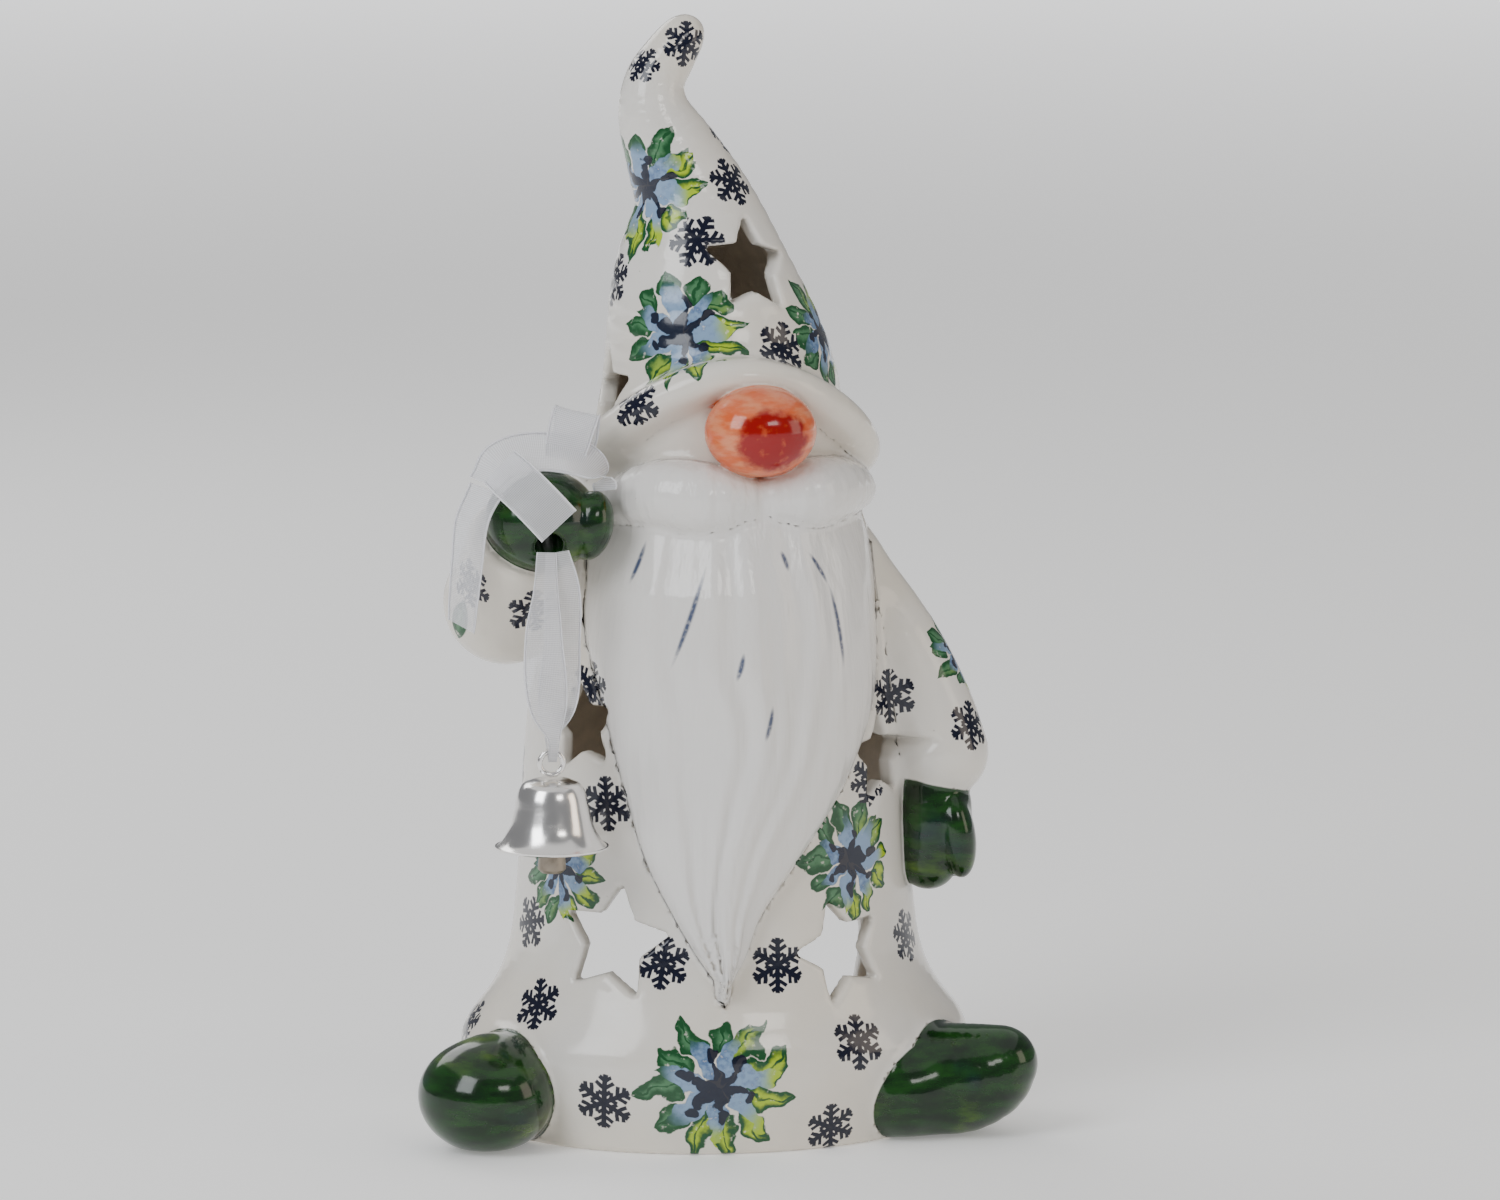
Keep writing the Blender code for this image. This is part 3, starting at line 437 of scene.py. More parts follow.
@dataclass
class Figure:
    """All the clay forms, how they flow together, and how they part into pieces."""

    wall: float = 0.0045
    floor: float = 0.0050
    seam: float = 0.1502
    root: float = 0.0012
    hat_height: float = 0.0985
    hat_foot: float = 0.1503
    blend_low: float = 0.138        # the hat's outline counts above this height
    blend_high: float = 0.156       # and the robe's below this one
    blend_reach: float = 0.0015
    brim_height: float = 0.1525
    brim_rise: float = 0.0205
    brim_steps: int = 64
    hat_axis: tuple = (
        (0.0, 0.0015, 0.0295), (0.20, 0.0010, 0.0262), (0.40, -0.0025, 0.0208), (0.58, -0.0042, 0.0138),
        (0.70, -0.0090, 0.0108), (0.80, -0.0135, 0.0082), (0.875, -0.0135, 0.0068), (0.93, -0.0105, 0.0060),
        (0.97, -0.0078, 0.0052), (0.985, -0.0066, 0.0044),
    )
    star_radius: float = 0.0115
    robe_stars: tuple = (
        (-0.0285, 0.0470, 8.0, 1.10), (0.0235, 0.0440, -16.0, 0.98),
        (0.0345, 0.0860, 0.0, 0.82), (-0.0345, 0.0945, -10.0, 0.85),
    )
    hat_stars: tuple = ((0.47, 28.0, 6.0, 0.88), (0.17, -82.0, -8.0, 0.85), (0.30, 165.0, 0.0, 0.90))
    back_star_z: float = 0.105
    arch_half_width: float = 0.0380
    arch_spring: float = 0.0330

    def __post_init__(self) -> None:
        """Shape every form from the sizes and the frame."""
        self.robe = Robe("robe")
        rows = [(x, 0.0, self.hat_foot + share * self.hat_height, radius) for share, x,
                radius in self.hat_axis]
        rows.insert(0, (rows[0][0], 0.0, rows[0][2] - 0.010, rows[0][3] + 0.0012))
        self.hat_rows = smooth_rows(rows, 4)
        self.hat = Limb("hat", 0.002, self.hat_rows)
        self.lumps: dict[str, list[Form]] = {
            "hat_brim": [Ring("brim", 0.0065, self.brim_rows())],
            "beard": [Beard("beard", 0.0022, robe=self.robe)],
            "moustache": self.moustache_forms(),
            "nose": [self.nose_form()],
            "raised_sleeve": self.raised_sleeve_forms(),
            "raised_mitten": self.raised_mitten_forms(),
            "hanging_sleeve": self.hanging_sleeve_forms(),
            "hanging_mitten": self.hanging_mitten_forms(),
            "left_boot": self.left_boot_forms(),
            "right_boot": self.right_boot_forms(),
        }
        self.stars = self.make_stars()

    def brim_rows(self) -> np.ndarray:
        """Closed path of the brim's roll, arched up over the nose."""
        rows = []
        for i in range(self.brim_steps):
            turn = 2 * math.pi * i / self.brim_steps
            front = max(0.0, math.cos(turn))
            z = self.brim_height + self.brim_rise * front ** 1.5
            middle, radius = self.hat_at(z)
            reach = radius + 0.0022 + 0.0022 * front
            rows.append((middle + reach * math.sin(turn), -reach * math.cos(turn), z,
                         0.0046 - 0.0006 * front))
        return np.array(rows)

    def hat_at(self, z: float) -> tuple[float, float]:
        """Middle and radius of the hat at a height."""
        rows = self.hat_rows
        return float(np.interp(z, rows[:, 2], rows[:, 0])), float(np.interp(z, rows[:, 2], rows[:, 3]))

    def moustache_forms(self) -> list[Form]:
        """Two soft lobes that part under the nose."""
        left = [(-0.0006, 0.1462, 0.0030, 0.0062), (-0.0080, 0.1466, 0.0046, 0.0080),
                (-0.0172, 0.1470, 0.0040, 0.0076),
                (-0.0242, 0.1446, 0.0030, 0.0056), (-0.0288, 0.1410, 0.0018, 0.0034)]
        right = [(0.0092, 0.1462, 0.0030, 0.0060), (0.0164, 0.1469, 0.0046, 0.0078),
                 (0.0240, 0.1472, 0.0038, 0.0068),
                 (0.0296, 0.1458, 0.0026, 0.0048), (0.0328, 0.1440, 0.0014, 0.0030)]
        forms = []
        for name, rows in (("left lobe", left), ("right lobe", right)):
            path = [(*self.robe.front(x, z, out), radius) for x, z, out, radius in rows]
            forms.append(Limb(name, 0.0022, smooth_rows(path, 3)))
        return forms

    def nose_form(self) -> Form:
        """The egg of a nose, the size of its frame piece."""
        low, high = (np.array(corner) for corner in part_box("nose"))
        centre = (low + high) / 2
        half = (high - low) / 2
        depth = 0.0105
        return Egg("nose", 0.0008, (centre[0], low[1] + depth, centre[2]), (half[0], depth, half[2] * 0.99))

    def raised_sleeve_forms(self) -> list[Form]:
        """Upper arm and forearm of the bent arm."""
        elbow = np.array([-0.0490, -0.0100, 0.1215])
        shoulder = elbow + (0.0200, 0.0060, 0.0050)
        cuff = elbow + (0.0020, -0.0120, 0.0150)
        upper = [(*shoulder, 0.0122), (*elbow, 0.0130)]
        lower = [(*elbow, 0.0132), (*cuff, 0.0122)]
        return [Limb("upper arm", 0.0060, upper), Limb("forearm", 0.0040, lower)]

    def raised_mitten_forms(self) -> list[Form]:
        """Fist and thumb."""
        low, high = (np.array(corner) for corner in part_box("raised_mitten"))
        centre = (low + high) / 2
        palm = Egg("palm", 0.0009, (centre[0] - 0.0005, centre[1] - 0.0005, centre[2]),
                   (0.0128, 0.0112, 0.0114))
        thumb = Egg("thumb", 0.0009, (centre[0] + 0.0098, centre[1] - 0.0048, centre[2] - 0.0008),
                    (0.0050, 0.0056, 0.0078), tilt=0.2)
        return [palm, thumb]

    def hanging_sleeve_forms(self) -> list[Form]:
        """The arm that hangs at the right, a little wider at its cuff."""
        path = [(0.0300, -0.0050, 0.1260, 0.0090), (0.0400, -0.0070, 0.1100, 0.0102),
                (0.0470, -0.0100, 0.0950, 0.0106), (0.0502, -0.0120, 0.0850, 0.0106)]
        return [Limb("sleeve", 0.0050, smooth_rows(path, 3))]

    def hanging_mitten_forms(self) -> list[Form]:
        """The hanging hand and its thumb."""
        hand = [(0.0482, -0.0122, 0.0800, 0.0074), (0.0486, -0.0130, 0.0695, 0.0084),
                (0.0470, -0.0132, 0.0605, 0.0068)]
        thumb = Egg("thumb", 0.0009, (0.0524, -0.0178, 0.0668), (0.0044, 0.0056, 0.0100), tilt=-0.15)
        return [Limb("hand", 0.0009, smooth_rows(hand, 3)), thumb]

    def left_boot_forms(self) -> list[Form]:
        """The boot that points forward."""
        low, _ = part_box("left_boot")
        toe_x = low[0] + 0.0125
        toe = Egg("toe", 0.0020, (toe_x, -0.0265, 0.0124), (0.0152, 0.0140, 0.0128), turn=-0.55)
        heel = Limb("heel", 0.0030,
                    [(-0.0400, -0.0100, 0.0125, 0.0118), (toe_x + 0.004, -0.0225, 0.0130, 0.0126)])
        return [toe, heel]

    def right_boot_forms(self) -> list[Form]:
        """The boot that points aside, its toe lifted."""
        path = [(0.0395, -0.0240, 0.0122, 0.0128), (0.0490, -0.0270, 0.0124, 0.0128),
                (0.0560, -0.0295, 0.0140, 0.0112), (0.0600, -0.0308, 0.0165, 0.0086)]
        root = Egg("root", 0.0020, (0.0385, -0.0265, 0.0110), (0.0142, 0.0138, 0.0118), turn=0.2)
        return [Limb("boot", 0.0028, smooth_rows(path, 3)), root]

    def make_stars(self) -> list[Star]:
        """Every piercing, seated square to its wall."""
        stars = []
        for x, z, roll, share in self.robe_stars:
            place = np.array(self.robe.front(x, z))
            width, depth = self.robe.section(np.array([z]))
            out = np.array([place[0] / width[0] ** 2, place[1] / depth[0] ** 2, 0.0])
            stars.append(Star(place, out / np.linalg.norm(out), self.star_radius * share,
                              math.radians(roll)))
        for share, turn, roll, size in self.hat_stars:
            z = self.hat_foot + share * self.hat_height
            middle, radius = self.hat_at(z)
            out = np.array([math.sin(math.radians(turn)), -math.cos(math.radians(turn)), 0.0])
            place = np.array([middle, 0.0, z]) + out * radius
            stars.append(Star(place, out, self.star_radius * size, math.radians(roll)))
        depth = self.robe.section(np.array([self.back_star_z]))[1][0]
        back = np.array([0.0, 1.0, 0.0])
        stars.append(Star(np.array([0.0, depth, self.back_star_z]), back, self.star_radius, 0.0))
        return stars

    def core(self, p: np.ndarray) -> np.ndarray:
        """Robe and hat as one outline."""
        value = np.full(len(p), FAR)
        low = p[:, 2] < self.blend_high
        value[low] = self.robe.distance(p[low])
        high = p[:, 2] > self.blend_low
        value[high] = soft_min(value[high], self.hat.distance(p[high]), self.blend_reach)
        return value

    def sample(self, p: np.ndarray) -> tuple[np.ndarray, np.ndarray, dict[str, np.ndarray]]:
        """Fused solid with its cavity and piercings.

        Args:
            p: Points, one row each.

        Returns:
            The solid's field, the core's own field, and each lump's own field.
        """
        core = self.core(p)
        solid = core.copy()
        raw = {}
        for name, forms in self.lumps.items():
            nearest = np.full(len(p), FAR)
            for form in forms:
                low, high = form.box()
                near = ((p > low - 0.009) & (p < high + 0.009)).all(1)
                if not near.any():
                    continue
                value = form.distance(p[near])
                if name == "raised_sleeve":
                    value = self.cuff_cut(value, p[near])
                nearest[near] = np.minimum(nearest[near], value)
                solid[near] = soft_min(solid[near], value, form.fillet)
            raw[name] = nearest
        solid = self.hollow(solid, core, p)
        return solid, core, raw

    def cuff_cut(self, value: np.ndarray, p: np.ndarray) -> np.ndarray:
        """End the raised sleeve in a flat cuff under the fist."""
        facing = np.array([0.30, -0.62, 0.72])
        facing /= np.linalg.norm(facing)
        cuff = np.array([-0.0470, -0.0220, 0.1365]) + facing * 0.0010
        return soft_max(value, (p - cuff) @ facing, 0.0022)

    def hollow(self, solid: np.ndarray, core: np.ndarray, p: np.ndarray) -> np.ndarray:
        """Take out the cavity, the piercings, the candle arch and the ribbon's bore, and flatten the foot."""
        z = p[:, 2]
        cavity = soft_max(core + self.wall, self.floor - z, 0.004)
        cavity = np.maximum(cavity, z - 0.222)
        solid = soft_max(solid, -cavity, 0.0008)
        for star in self.stars:
            near = (np.abs(p - star.centre) < star.radius + 0.006).all(1)
            if near.any():
                solid[near] = soft_max(solid[near], -star.distance(p[near]), 0.0016)
        arch = np.where(z < self.arch_spring, np.abs(p[:, 0]),
                        np.sqrt(p[:, 0] ** 2 + (z - self.arch_spring) ** 2)) - self.arch_half_width
        arch = np.maximum(arch, self.floor - z)
        arch = np.maximum(arch, 0.012 - p[:, 1])
        solid = soft_max(solid, -arch, 0.0018)
        bore = Limb("bore", 0.0, [(-0.0432, -0.0480, 0.1298, 0.0030), (-0.0430, -0.0290, 0.1420, 0.0030),
                                  (-0.0428, -0.0190, 0.1600, 0.0030)])
        near = (np.abs(p - np.array([-0.0430, -0.0300, 0.1420])) < 0.022).all(1)
        if near.any():
            solid[near] = soft_max(solid[near], -bore.distance(p[near]), 0.0010)
        return soft_max(solid, -z, 0.0016)

    def owner(self, name: str, p: np.ndarray, core: np.ndarray, raw: dict[str, np.ndarray]) -> np.ndarray:
        """Field that is negative where a named piece owns the clay."""
        if name in self.lumps:
            others = [core] + [raw[other] for other in self.lumps if other != name]
            return np.maximum(raw[name] - np.minimum.reduce(others), -(core + self.root))
        lumps = [self.owner(other, p, core, raw) for other in self.lumps]
        rest = -np.minimum.reduce(lumps)
        side = p[:, 2] - self.seam
        return np.maximum(rest, side if name == "robe_shell" else -side)

    def piece_box(self, name: str) -> tuple[np.ndarray, np.ndarray]:
        """Box in which a piece's clay lies."""
        if name == "robe_shell":
            low, high = self.robe.box()
            return low, np.array([high[0], high[1], self.seam + 0.0005])
        if name == "hat_shell":
            low, high = self.hat.box()
            low[2] = self.seam - 0.0005
            return low, high
        boxes = [form.box() for form in self.lumps[name]]
        return np.min([b[0] for b in boxes], 0), np.max([b[1] for b in boxes], 0)


@dataclass
class ClayPiece:
    """One piece of the figure, netted from the fused field."""

    name: str
    step: float = 0.0010

    def build(self, figure: Figure) -> bpy.types.Object:
        """Net the piece, seat its vertices on the glaze surface and keep smooth normals across its joins.

        Args:
            figure: The whole figure's fields.

        Returns:
            The finished closed mesh object.
        """
        low, high = figure.piece_box(self.name)
        low = np.floor(low / self.step - 3) * self.step
        count = np.ceil((high - low) / self.step).astype(int) + 4
        axes = [low[n] + self.step * np.arange(count[n]) for n in range(3)]
        grid = np.stack(np.meshgrid(*axes, indexing='ij'), -1).reshape(-1, 3)
        values = self.field(figure, grid).reshape(count)
        for axis in range(3):
            for end in (0, -1):
                edge = tuple(end if n == axis else slice(None) for n in range(3))
                values[edge] = np.maximum(values[edge], self.step)
        vertices, quads = net(values, low, self.step)
        vertices, normals = self.seat(figure, vertices)
        made = make_object(self.name + "_glazed", vertices, quads)
        made.data.normals_split_custom_set_from_vertices(normals.tolist())
        self.note_zones(figure, made, vertices, normals)
        return made

    def note_zones(self, figure: Figure, made: bpy.types.Object, vertices: np.ndarray,
                   normals: np.ndarray) -> None:
        """Keep on each vertex how far it lies from the colours' borders, from hollows and from rims.

        Args:
            figure: The whole figure's fields.
            made: The piece.
            vertices: Its vertices.
            normals: Their normals.
        """
        _, core, raw = figure.sample(vertices)
        groups = {"green": GREEN_LUMPS, "nose": ("nose",), "beard": ("beard", "moustache")}
        for zone, names in groups.items():
            own = np.minimum.reduce([raw[name] for name in names])
            rest = np.minimum.reduce([core] + [raw[name] for name in raw if name not in names])
            self.note(made, zone, np.clip(own - rest, -0.02, 0.02))
        outer = figure.sample(vertices + normals * HOLLOW_REACH)[0]
        inner = figure.sample(vertices - normals * RIM_REACH)[0]
        # the crease number drives the painted shade in the glaze's creases
        self.note(made, "crease", np.clip(1 - outer / HOLLOW_REACH, 0, 1))
        self.note(made, "rim", np.clip(1 + inner / RIM_REACH, 0, 1))
        self.note(made, "depth", -core)

    def note(self, made: bpy.types.Object, name: str, values: np.ndarray) -> None:
        """Keep one number on each vertex."""
        layer = made.data.attributes.new(name, 'FLOAT', 'POINT')
        layer.data.foreach_set("value", values.astype(np.float32))

    def field(self, figure: Figure, p: np.ndarray) -> np.ndarray:
        """Solid clay that this piece owns."""
        solid, core, raw = figure.sample(p)
        return np.maximum(solid, figure.owner(self.name, p, core, raw))

    def seat(self, figure: Figure, vertices: np.ndarray) -> tuple[np.ndarray, np.ndarray]:
        """Move vertices onto the clay's surface and its joins, and give their normals."""
        def clay(p: np.ndarray) -> np.ndarray:
            """The fused clay's field."""
            return figure.sample(p)[0]

        def join(p: np.ndarray) -> np.ndarray:
            """This piece's share of the figure."""
            _, core, raw = figure.sample(p)
            return figure.owner(self.name, p, core, raw)

        out, limit = clay(vertices), join(vertices)
        on_clay = out > limit - 0.45 * self.step
        on_join = limit > out - 0.45 * self.step
        for _ in range(2):
            vertices[on_clay] = pull(clay, vertices[on_clay], self.step * 0.6)
            vertices[on_join] = pull(join, vertices[on_join], self.step * 0.6)
        both = on_clay & on_join
        if both.any():
            vertices[both] = pull(clay, vertices[both], self.step * 0.4)
        normals = np.zeros_like(vertices)
        normals[on_join] = slope(join, vertices[on_join])
        normals[on_clay] = slope(clay, vertices[on_clay])
        normals /= np.sqrt((normals ** 2).sum(1))[:, None] + 1e-9
        return vertices, normals


# ---- Materials --------------------------------------------------------------

Colour = tuple[float, float, float]


class Shade:
    """One output of a material's node, with sums as operators."""

    def __init__(self, paint: "Paint", socket: bpy.types.NodeSocket) -> None:
        """Hold the socket and the material it belongs to."""
        self.paint = paint
        self.socket = socket

    def math(self, operation: str, *others: Any) -> "Shade":
        """Put this value and others through a Math node."""
        return self.paint.math(operation, self, *others)

    def __add__(self, other: Any) -> "Shade":
        """Sum."""
        return self.math('ADD', other)

    def __radd__(self, other: Any) -> "Shade":
        """Sum, from the right."""
        return self.math('ADD', other)

    def __sub__(self, other: Any) -> "Shade":
        """Difference."""
        return self.math('SUBTRACT', other)

    def __rsub__(self, other: Any) -> "Shade":
        """Difference, from the right."""
        return self.paint.math('SUBTRACT', other, self)

    def __mul__(self, other: Any) -> "Shade":
        """Product."""
        return self.math('MULTIPLY', other)

    def __rmul__(self, other: Any) -> "Shade":
        """Product, from the right."""
        return self.math('MULTIPLY', other)

    def __truediv__(self, other: Any) -> "Shade":
        """Quotient."""
        return self.math('DIVIDE', other)

    def __rtruediv__(self, other: Any) -> "Shade":
        """Quotient, from the right."""
        return self.paint.math('DIVIDE', other, self)

    def __neg__(self) -> "Shade":
        """Negative."""
        return self.math('MULTIPLY', -1.0)

    def __pow__(self, other: Any) -> "Shade":
        """Power."""
        return self.math('POWER', other)

    def __abs__(self) -> "Shade":
        """Size without sign."""
        return self.math('ABSOLUTE')

    def __mod__(self, other: Any) -> "Shade":
        """Remainder, never negative."""
        return self.math('FLOORED_MODULO', other)

    def most(self, other: Any) -> "Shade":
        """The larger of two."""
        return self.math('MAXIMUM', other)

    def rise(self, low: Any, high: Any) -> "Shade":
        """Smooth step that goes from 0 at low to 1 at high."""
        made = self.paint.node('ShaderNodeMapRange', {"interpolation_type": 'SMOOTHSTEP'},
                               {"Value": self, "From Min": low, "From Max": high})
        return Shade(self.paint, made.outputs[0])

    def fall(self, low: Any, high: Any) -> "Shade":
        """Smooth step that goes from 1 at low to 0 at high."""
        return 1.0 - self.rise(low, high)


class Paint:
    """A material under construction."""

    def __init__(self, name: str) -> None:
        """Start a material with an empty tree."""
        self.material = bpy.data.materials.new(name)
        self.material.use_nodes = True
        self.tree = self.material.node_tree
        self.tree.nodes.clear()

    def node(self, kind: str, settings: dict[str, Any], values: dict[Any, Any]) -> bpy.types.Node:
        """Add a node.

        Args:
            kind: The node's type.
            settings: Its own properties, set first.
            values: What each input, by name or number, is set or linked to.

        Returns:
            The node.
        """
        made = self.tree.nodes.new(kind)
        for key, value in settings.items():
            setattr(made, key, value)
        for key, value in values.items():
            if isinstance(value, Shade):
                self.tree.links.new(value.socket, made.inputs[key])
            else:
                made.inputs[key].default_value = value
        return made

    def math(self, operation: str, *values: Any) -> Shade:
        """One Math node."""
        made = self.node('ShaderNodeMath', {"operation": operation}, dict(enumerate(values)))
        return Shade(self, made.outputs[0])

    def vector(self, operation: str, a: Any, b: Any) -> Shade:
        """One Vector Math node that gives a vector."""
        made = self.node('ShaderNodeVectorMath', {"operation": operation}, {0: a, 1: b})
        return Shade(self, made.outputs[0])

    def length(self, a: Shade) -> Shade:
        """Length of a vector."""
        made = self.node('ShaderNodeVectorMath', {"operation": 'LENGTH'}, {0: a})
        return Shade(self, made.outputs["Value"])

    def mix(self, share: Any, a: Any, b: Any) -> Shade:
        """Blend two colours."""
        pair = [value if isinstance(value, Shade) else (*value, 1.0) for value in (a, b)]
        made = self.node('ShaderNodeMix', {"data_type": 'RGBA'}, {0: share, 6: pair[0], 7: pair[1]})
        return Shade(self, made.outputs[2])

    def place(self) -> Shade:
        """Where a point lies in the object's own frame."""
        return Shade(self, self.node('ShaderNodeTexCoord', {}, {}).outputs["Object"])

    def split(self, vector: Shade) -> tuple[Shade, Shade, Shade]:
        """The three parts of a vector."""
        made = self.node('ShaderNodeSeparateXYZ', {}, {0: vector})
        return tuple(Shade(self, made.outputs[n]) for n in range(3))

    def attribute(self, name: str) -> Shade:
        """A number kept on the mesh."""
        made = self.node('ShaderNodeAttribute', {"attribute_name": name}, {})
        return Shade(self, made.outputs["Fac"])

    def noise(self, place: Shade, size: float, detail: float = 2.0, seed: float = 0.0) -> Shade:
        """Cloudy noise with features of about the given size."""
        made = self.node('ShaderNodeTexNoise', {"noise_dimensions": '4D'},
                         {"Vector": place, "W": seed, "Scale": 1 / size, "Detail": detail})
        return Shade(self, made.outputs[0])

    def cells(self, place: Shade, size: float) -> Shade:
        """Distance to the nearest of many scattered points, in cells."""
        made = self.node('ShaderNodeTexVoronoi', {}, {"Vector": place, "Scale": 1 / size})
        return Shade(self, made.outputs["Distance"])

    def bump(self, height: Shade, depth: float) -> Shade:
        """A normal bent by a height."""
        made = self.node('ShaderNodeBump', {}, {"Strength": 1.0, "Distance": depth, "Height": height})
        return Shade(self, made.outputs[0])

    def finish(self, values: dict[str, Any], clear: Any = None) -> bpy.types.Material:
        """End the tree in a Principled surface.

        Args:
            values: What its sockets are set or linked to.
            clear: Share of the surface that is see-through, if any.

        Returns:
            The material.
        """
        shader = self.node('ShaderNodeBsdfPrincipled', {}, values)
        surface = shader.outputs[0]
        if clear is not None:
            gap = self.node('ShaderNodeBsdfTransparent', {}, {})
            blend = self.node('ShaderNodeMixShader', {}, {0: clear})
            self.tree.links.new(surface, blend.inputs[1])
            self.tree.links.new(gap.outputs[0], blend.inputs[2])
            surface = blend.outputs[0]
        end = self.tree.nodes.new('ShaderNodeOutputMaterial')
        self.tree.links.new(surface, end.inputs[0])
        return self.material


class MarkKind(Enum):
    """What a stamp or a brush leaves on the clay."""

    BARE = 0
    SNOWFLAKE = 1
    FLOWER = 2
    LEAF = 3
    STROKE = 4


@dataclass(frozen=True)
class Mark:
    """One stamped or brushed mark, on the outside where a level line to the figure's middle meets it."""

    kind: MarkKind
    turn: float
    height: float
    radius: float
    roll: float = 0.0


@dataclass(frozen=True)
class GlazedClay:
    """White glaze over stoneware, with its stamps, brushed greens, painted nose and painted shade in its
    creases.
    """

    name: str
    ivory: Colour = (0.800, 0.745, 0.650)
    cool: Colour = (0.780, 0.770, 0.750)
    beard: Colour = (0.820, 0.805, 0.790)
    # darker grey for faint random mottling and for the painted shade in the creases
    mottle_and_crease_shade: Colour = (0.560, 0.530, 0.470)
    thin: Colour = (0.660, 0.560, 0.430)
    bare_clay: Colour = (0.300, 0.255, 0.200)
    ink: Colour = (0.004, 0.006, 0.020)
    blue: Colour = (0.080, 0.150, 0.300)
    pale_blue: Colour = (0.240, 0.360, 0.530)
    leaf: Colour = (0.008, 0.075, 0.022)
    mid_leaf: Colour = (0.070, 0.200, 0.090)
    lime: Colour = (0.400, 0.560, 0.020)
    stroke: Colour = (0.075, 0.095, 0.165)
    green_dark: Colour = (0.002, 0.014, 0.003)
    green: Colour = (0.008, 0.055, 0.006)
    green_lime: Colour = (0.085, 0.160, 0.004)
    teal: Colour = (0.003, 0.024, 0.026)
    nose_orange: Colour = (0.700, 0.120, 0.030)
    nose_pale: Colour = (0.760, 0.260, 0.120)
    nose_red: Colour = (0.300, 0.001, 0.001)

    def build(self) -> bpy.types.Material:
        """Make the glaze.

        Returns:
            The material.
        """
        paint = Paint(self.name)
        place = paint.place()
        colour = self.white(paint, place)
        colour = self.stamps(paint, place, colour)
        green = paint.attribute("green") + (paint.noise(place, 0.004, 3.0) - 0.5) * 0.0004
        colour = paint.mix(green.fall(-0.0002, 0.0002), colour, self.greens(paint, place))
        nose = paint.attribute("nose") + (paint.noise(place, 0.003, 3.0) - 0.5) * 0.0008
        colour = paint.mix(nose.fall(-0.0003, 0.0004), colour, self.nose(paint, place))
        inner = paint.attribute("depth").rise(0.0034, 0.0042)
        clay = paint.mix(paint.noise(place, 0.004, 4.0), self.bare_clay, self.thin)
        colour = paint.mix(inner * 0.85, colour, clay)
        uneven = paint.noise(place, 0.012, 2.0, 3.0)
        peel = paint.noise(place, 0.0016, 2.0, 5.0)
        grain = paint.noise(place, 0.0005, 3.0, 8.0)
        rough = 0.11 + 0.08 * uneven + 0.45 * inner
        hair = paint.noise(paint.vector('MULTIPLY', place, (1.0, 1.0, 0.11)), 0.0034, 3.0, 9.0)
        hairy = paint.attribute("beard").fall(-0.0010, 0.0006)
        height = uneven * 0.8 + peel * 0.10 + grain * inner * 0.3 + hair * hairy * 1.9
        return paint.finish({
            "Base Color": colour, "Roughness": rough, "IOR": 1.42,
            "Coat Weight": 0.30 - 0.30 * inner, "Coat Roughness": 0.03,
            "Normal": paint.bump(height, 0.00035),
        })

    def white(self, paint: Paint, place: Shade) -> Shade:
        """The white ground: warm and cool clouds, faint darker mottling, painted shade that darkens the
        creases, thin at rims, a few iron specks.
        """
        cloud = paint.noise(place, 0.045, 3.0, 1.0).rise(0.38, 0.66)
        colour = paint.mix(cloud * 0.6, self.ivory, self.cool)
        fine = paint.noise(place, 0.006, 4.0, 2.0).rise(0.35, 0.75)
        colour = paint.mix(fine * 0.10, colour, self.mottle_and_crease_shade)
        beard = paint.attribute("beard").fall(-0.0006, 0.0014)
        colour = paint.mix(beard * 0.75, colour, self.beard)
        # painted shade: where the clay turns inward, the glaze is darkened toward a brownish grey
        crease = paint.attribute("crease").rise(0.30, 1.0)
        colour = paint.mix(crease * 0.55, colour, self.mottle_and_crease_shade)
        rim = paint.attribute("rim").rise(0.45, 1.0)
        colour = paint.mix(rim * 0.35, colour, self.thin)
        speck = paint.cells(place, 0.0055).fall(0.020, 0.045) * paint.noise(place, 0.02, 1.0,
                4.0).rise(0.52, 0.60)
        return paint.mix(speck * 0.45, colour, self.bare_clay)

    def stamps(self, paint: Paint, place: Shade, colour: Shade) -> Shade:
        """Lay the mark that each face carries over the ground."""
        uv = Shade(paint, paint.node('ShaderNodeUVMap', {"uv_map": "mark"}, {}).outputs[0])
        kind = paint.attribute("mark_kind")
        seed = paint.attribute("mark_seed")
        u, v, _ = paint.split(uv)
        wobble_u = paint.noise(place, 0.0022, 2.0, 11.0) - 0.5
        wobble_v = paint.noise(place, 0.0022, 2.0, 12.0) - 0.5
        worn = paint.noise(place, 0.0013, 3.0, 13.0)
        pull_u = paint.noise(place, 0.0062, 1.0, 14.0) - 0.5
        pull_v = paint.noise(place, 0.0062, 1.0, 15.0) - 0.5
        flower, flower_ink, flower_colour = self.flower(
            paint, u + wobble_u * 0.11 + pull_u * 0.42, v + wobble_v * 0.11 + pull_v * 0.42, seed, worn)
        snow = self.snowflake(paint, u + wobble_u * 0.10, v + wobble_v * 0.10)
        leaf = self.petal(v, u, 0.0, 0.92, 0.42)
        leaf_colour = paint.mix((leaf + worn * 0.4).rise(0.30, 0.80), self.mid_leaf, self.leaf)
        stroke = (abs(u + v * v * 0.06) * seed / (0.18 + 0.42 * (1.0 - v * v))).fall(0.3,
                1.5) * abs(v).fall(0.40, 1.0)
        for chosen, mask, tint in (
            (MarkKind.FLOWER, flower * worn.rise(0.22, 0.40), flower_colour),
            (MarkKind.FLOWER, flower_ink * 0.97, self.ink),
            (MarkKind.LEAF, leaf.fall(0.85, 1.0) * worn.rise(0.25, 0.42), leaf_colour),
            (MarkKind.SNOWFLAKE, snow * worn.rise(0.10, 0.28), self.ink),
            (MarkKind.STROKE, stroke * worn.rise(0.05, 0.55), self.stroke),
        ):
            here = abs(kind - float(chosen.value)).fall(0.2, 0.4)
            colour = paint.mix(mask * here, colour, tint)
        return colour

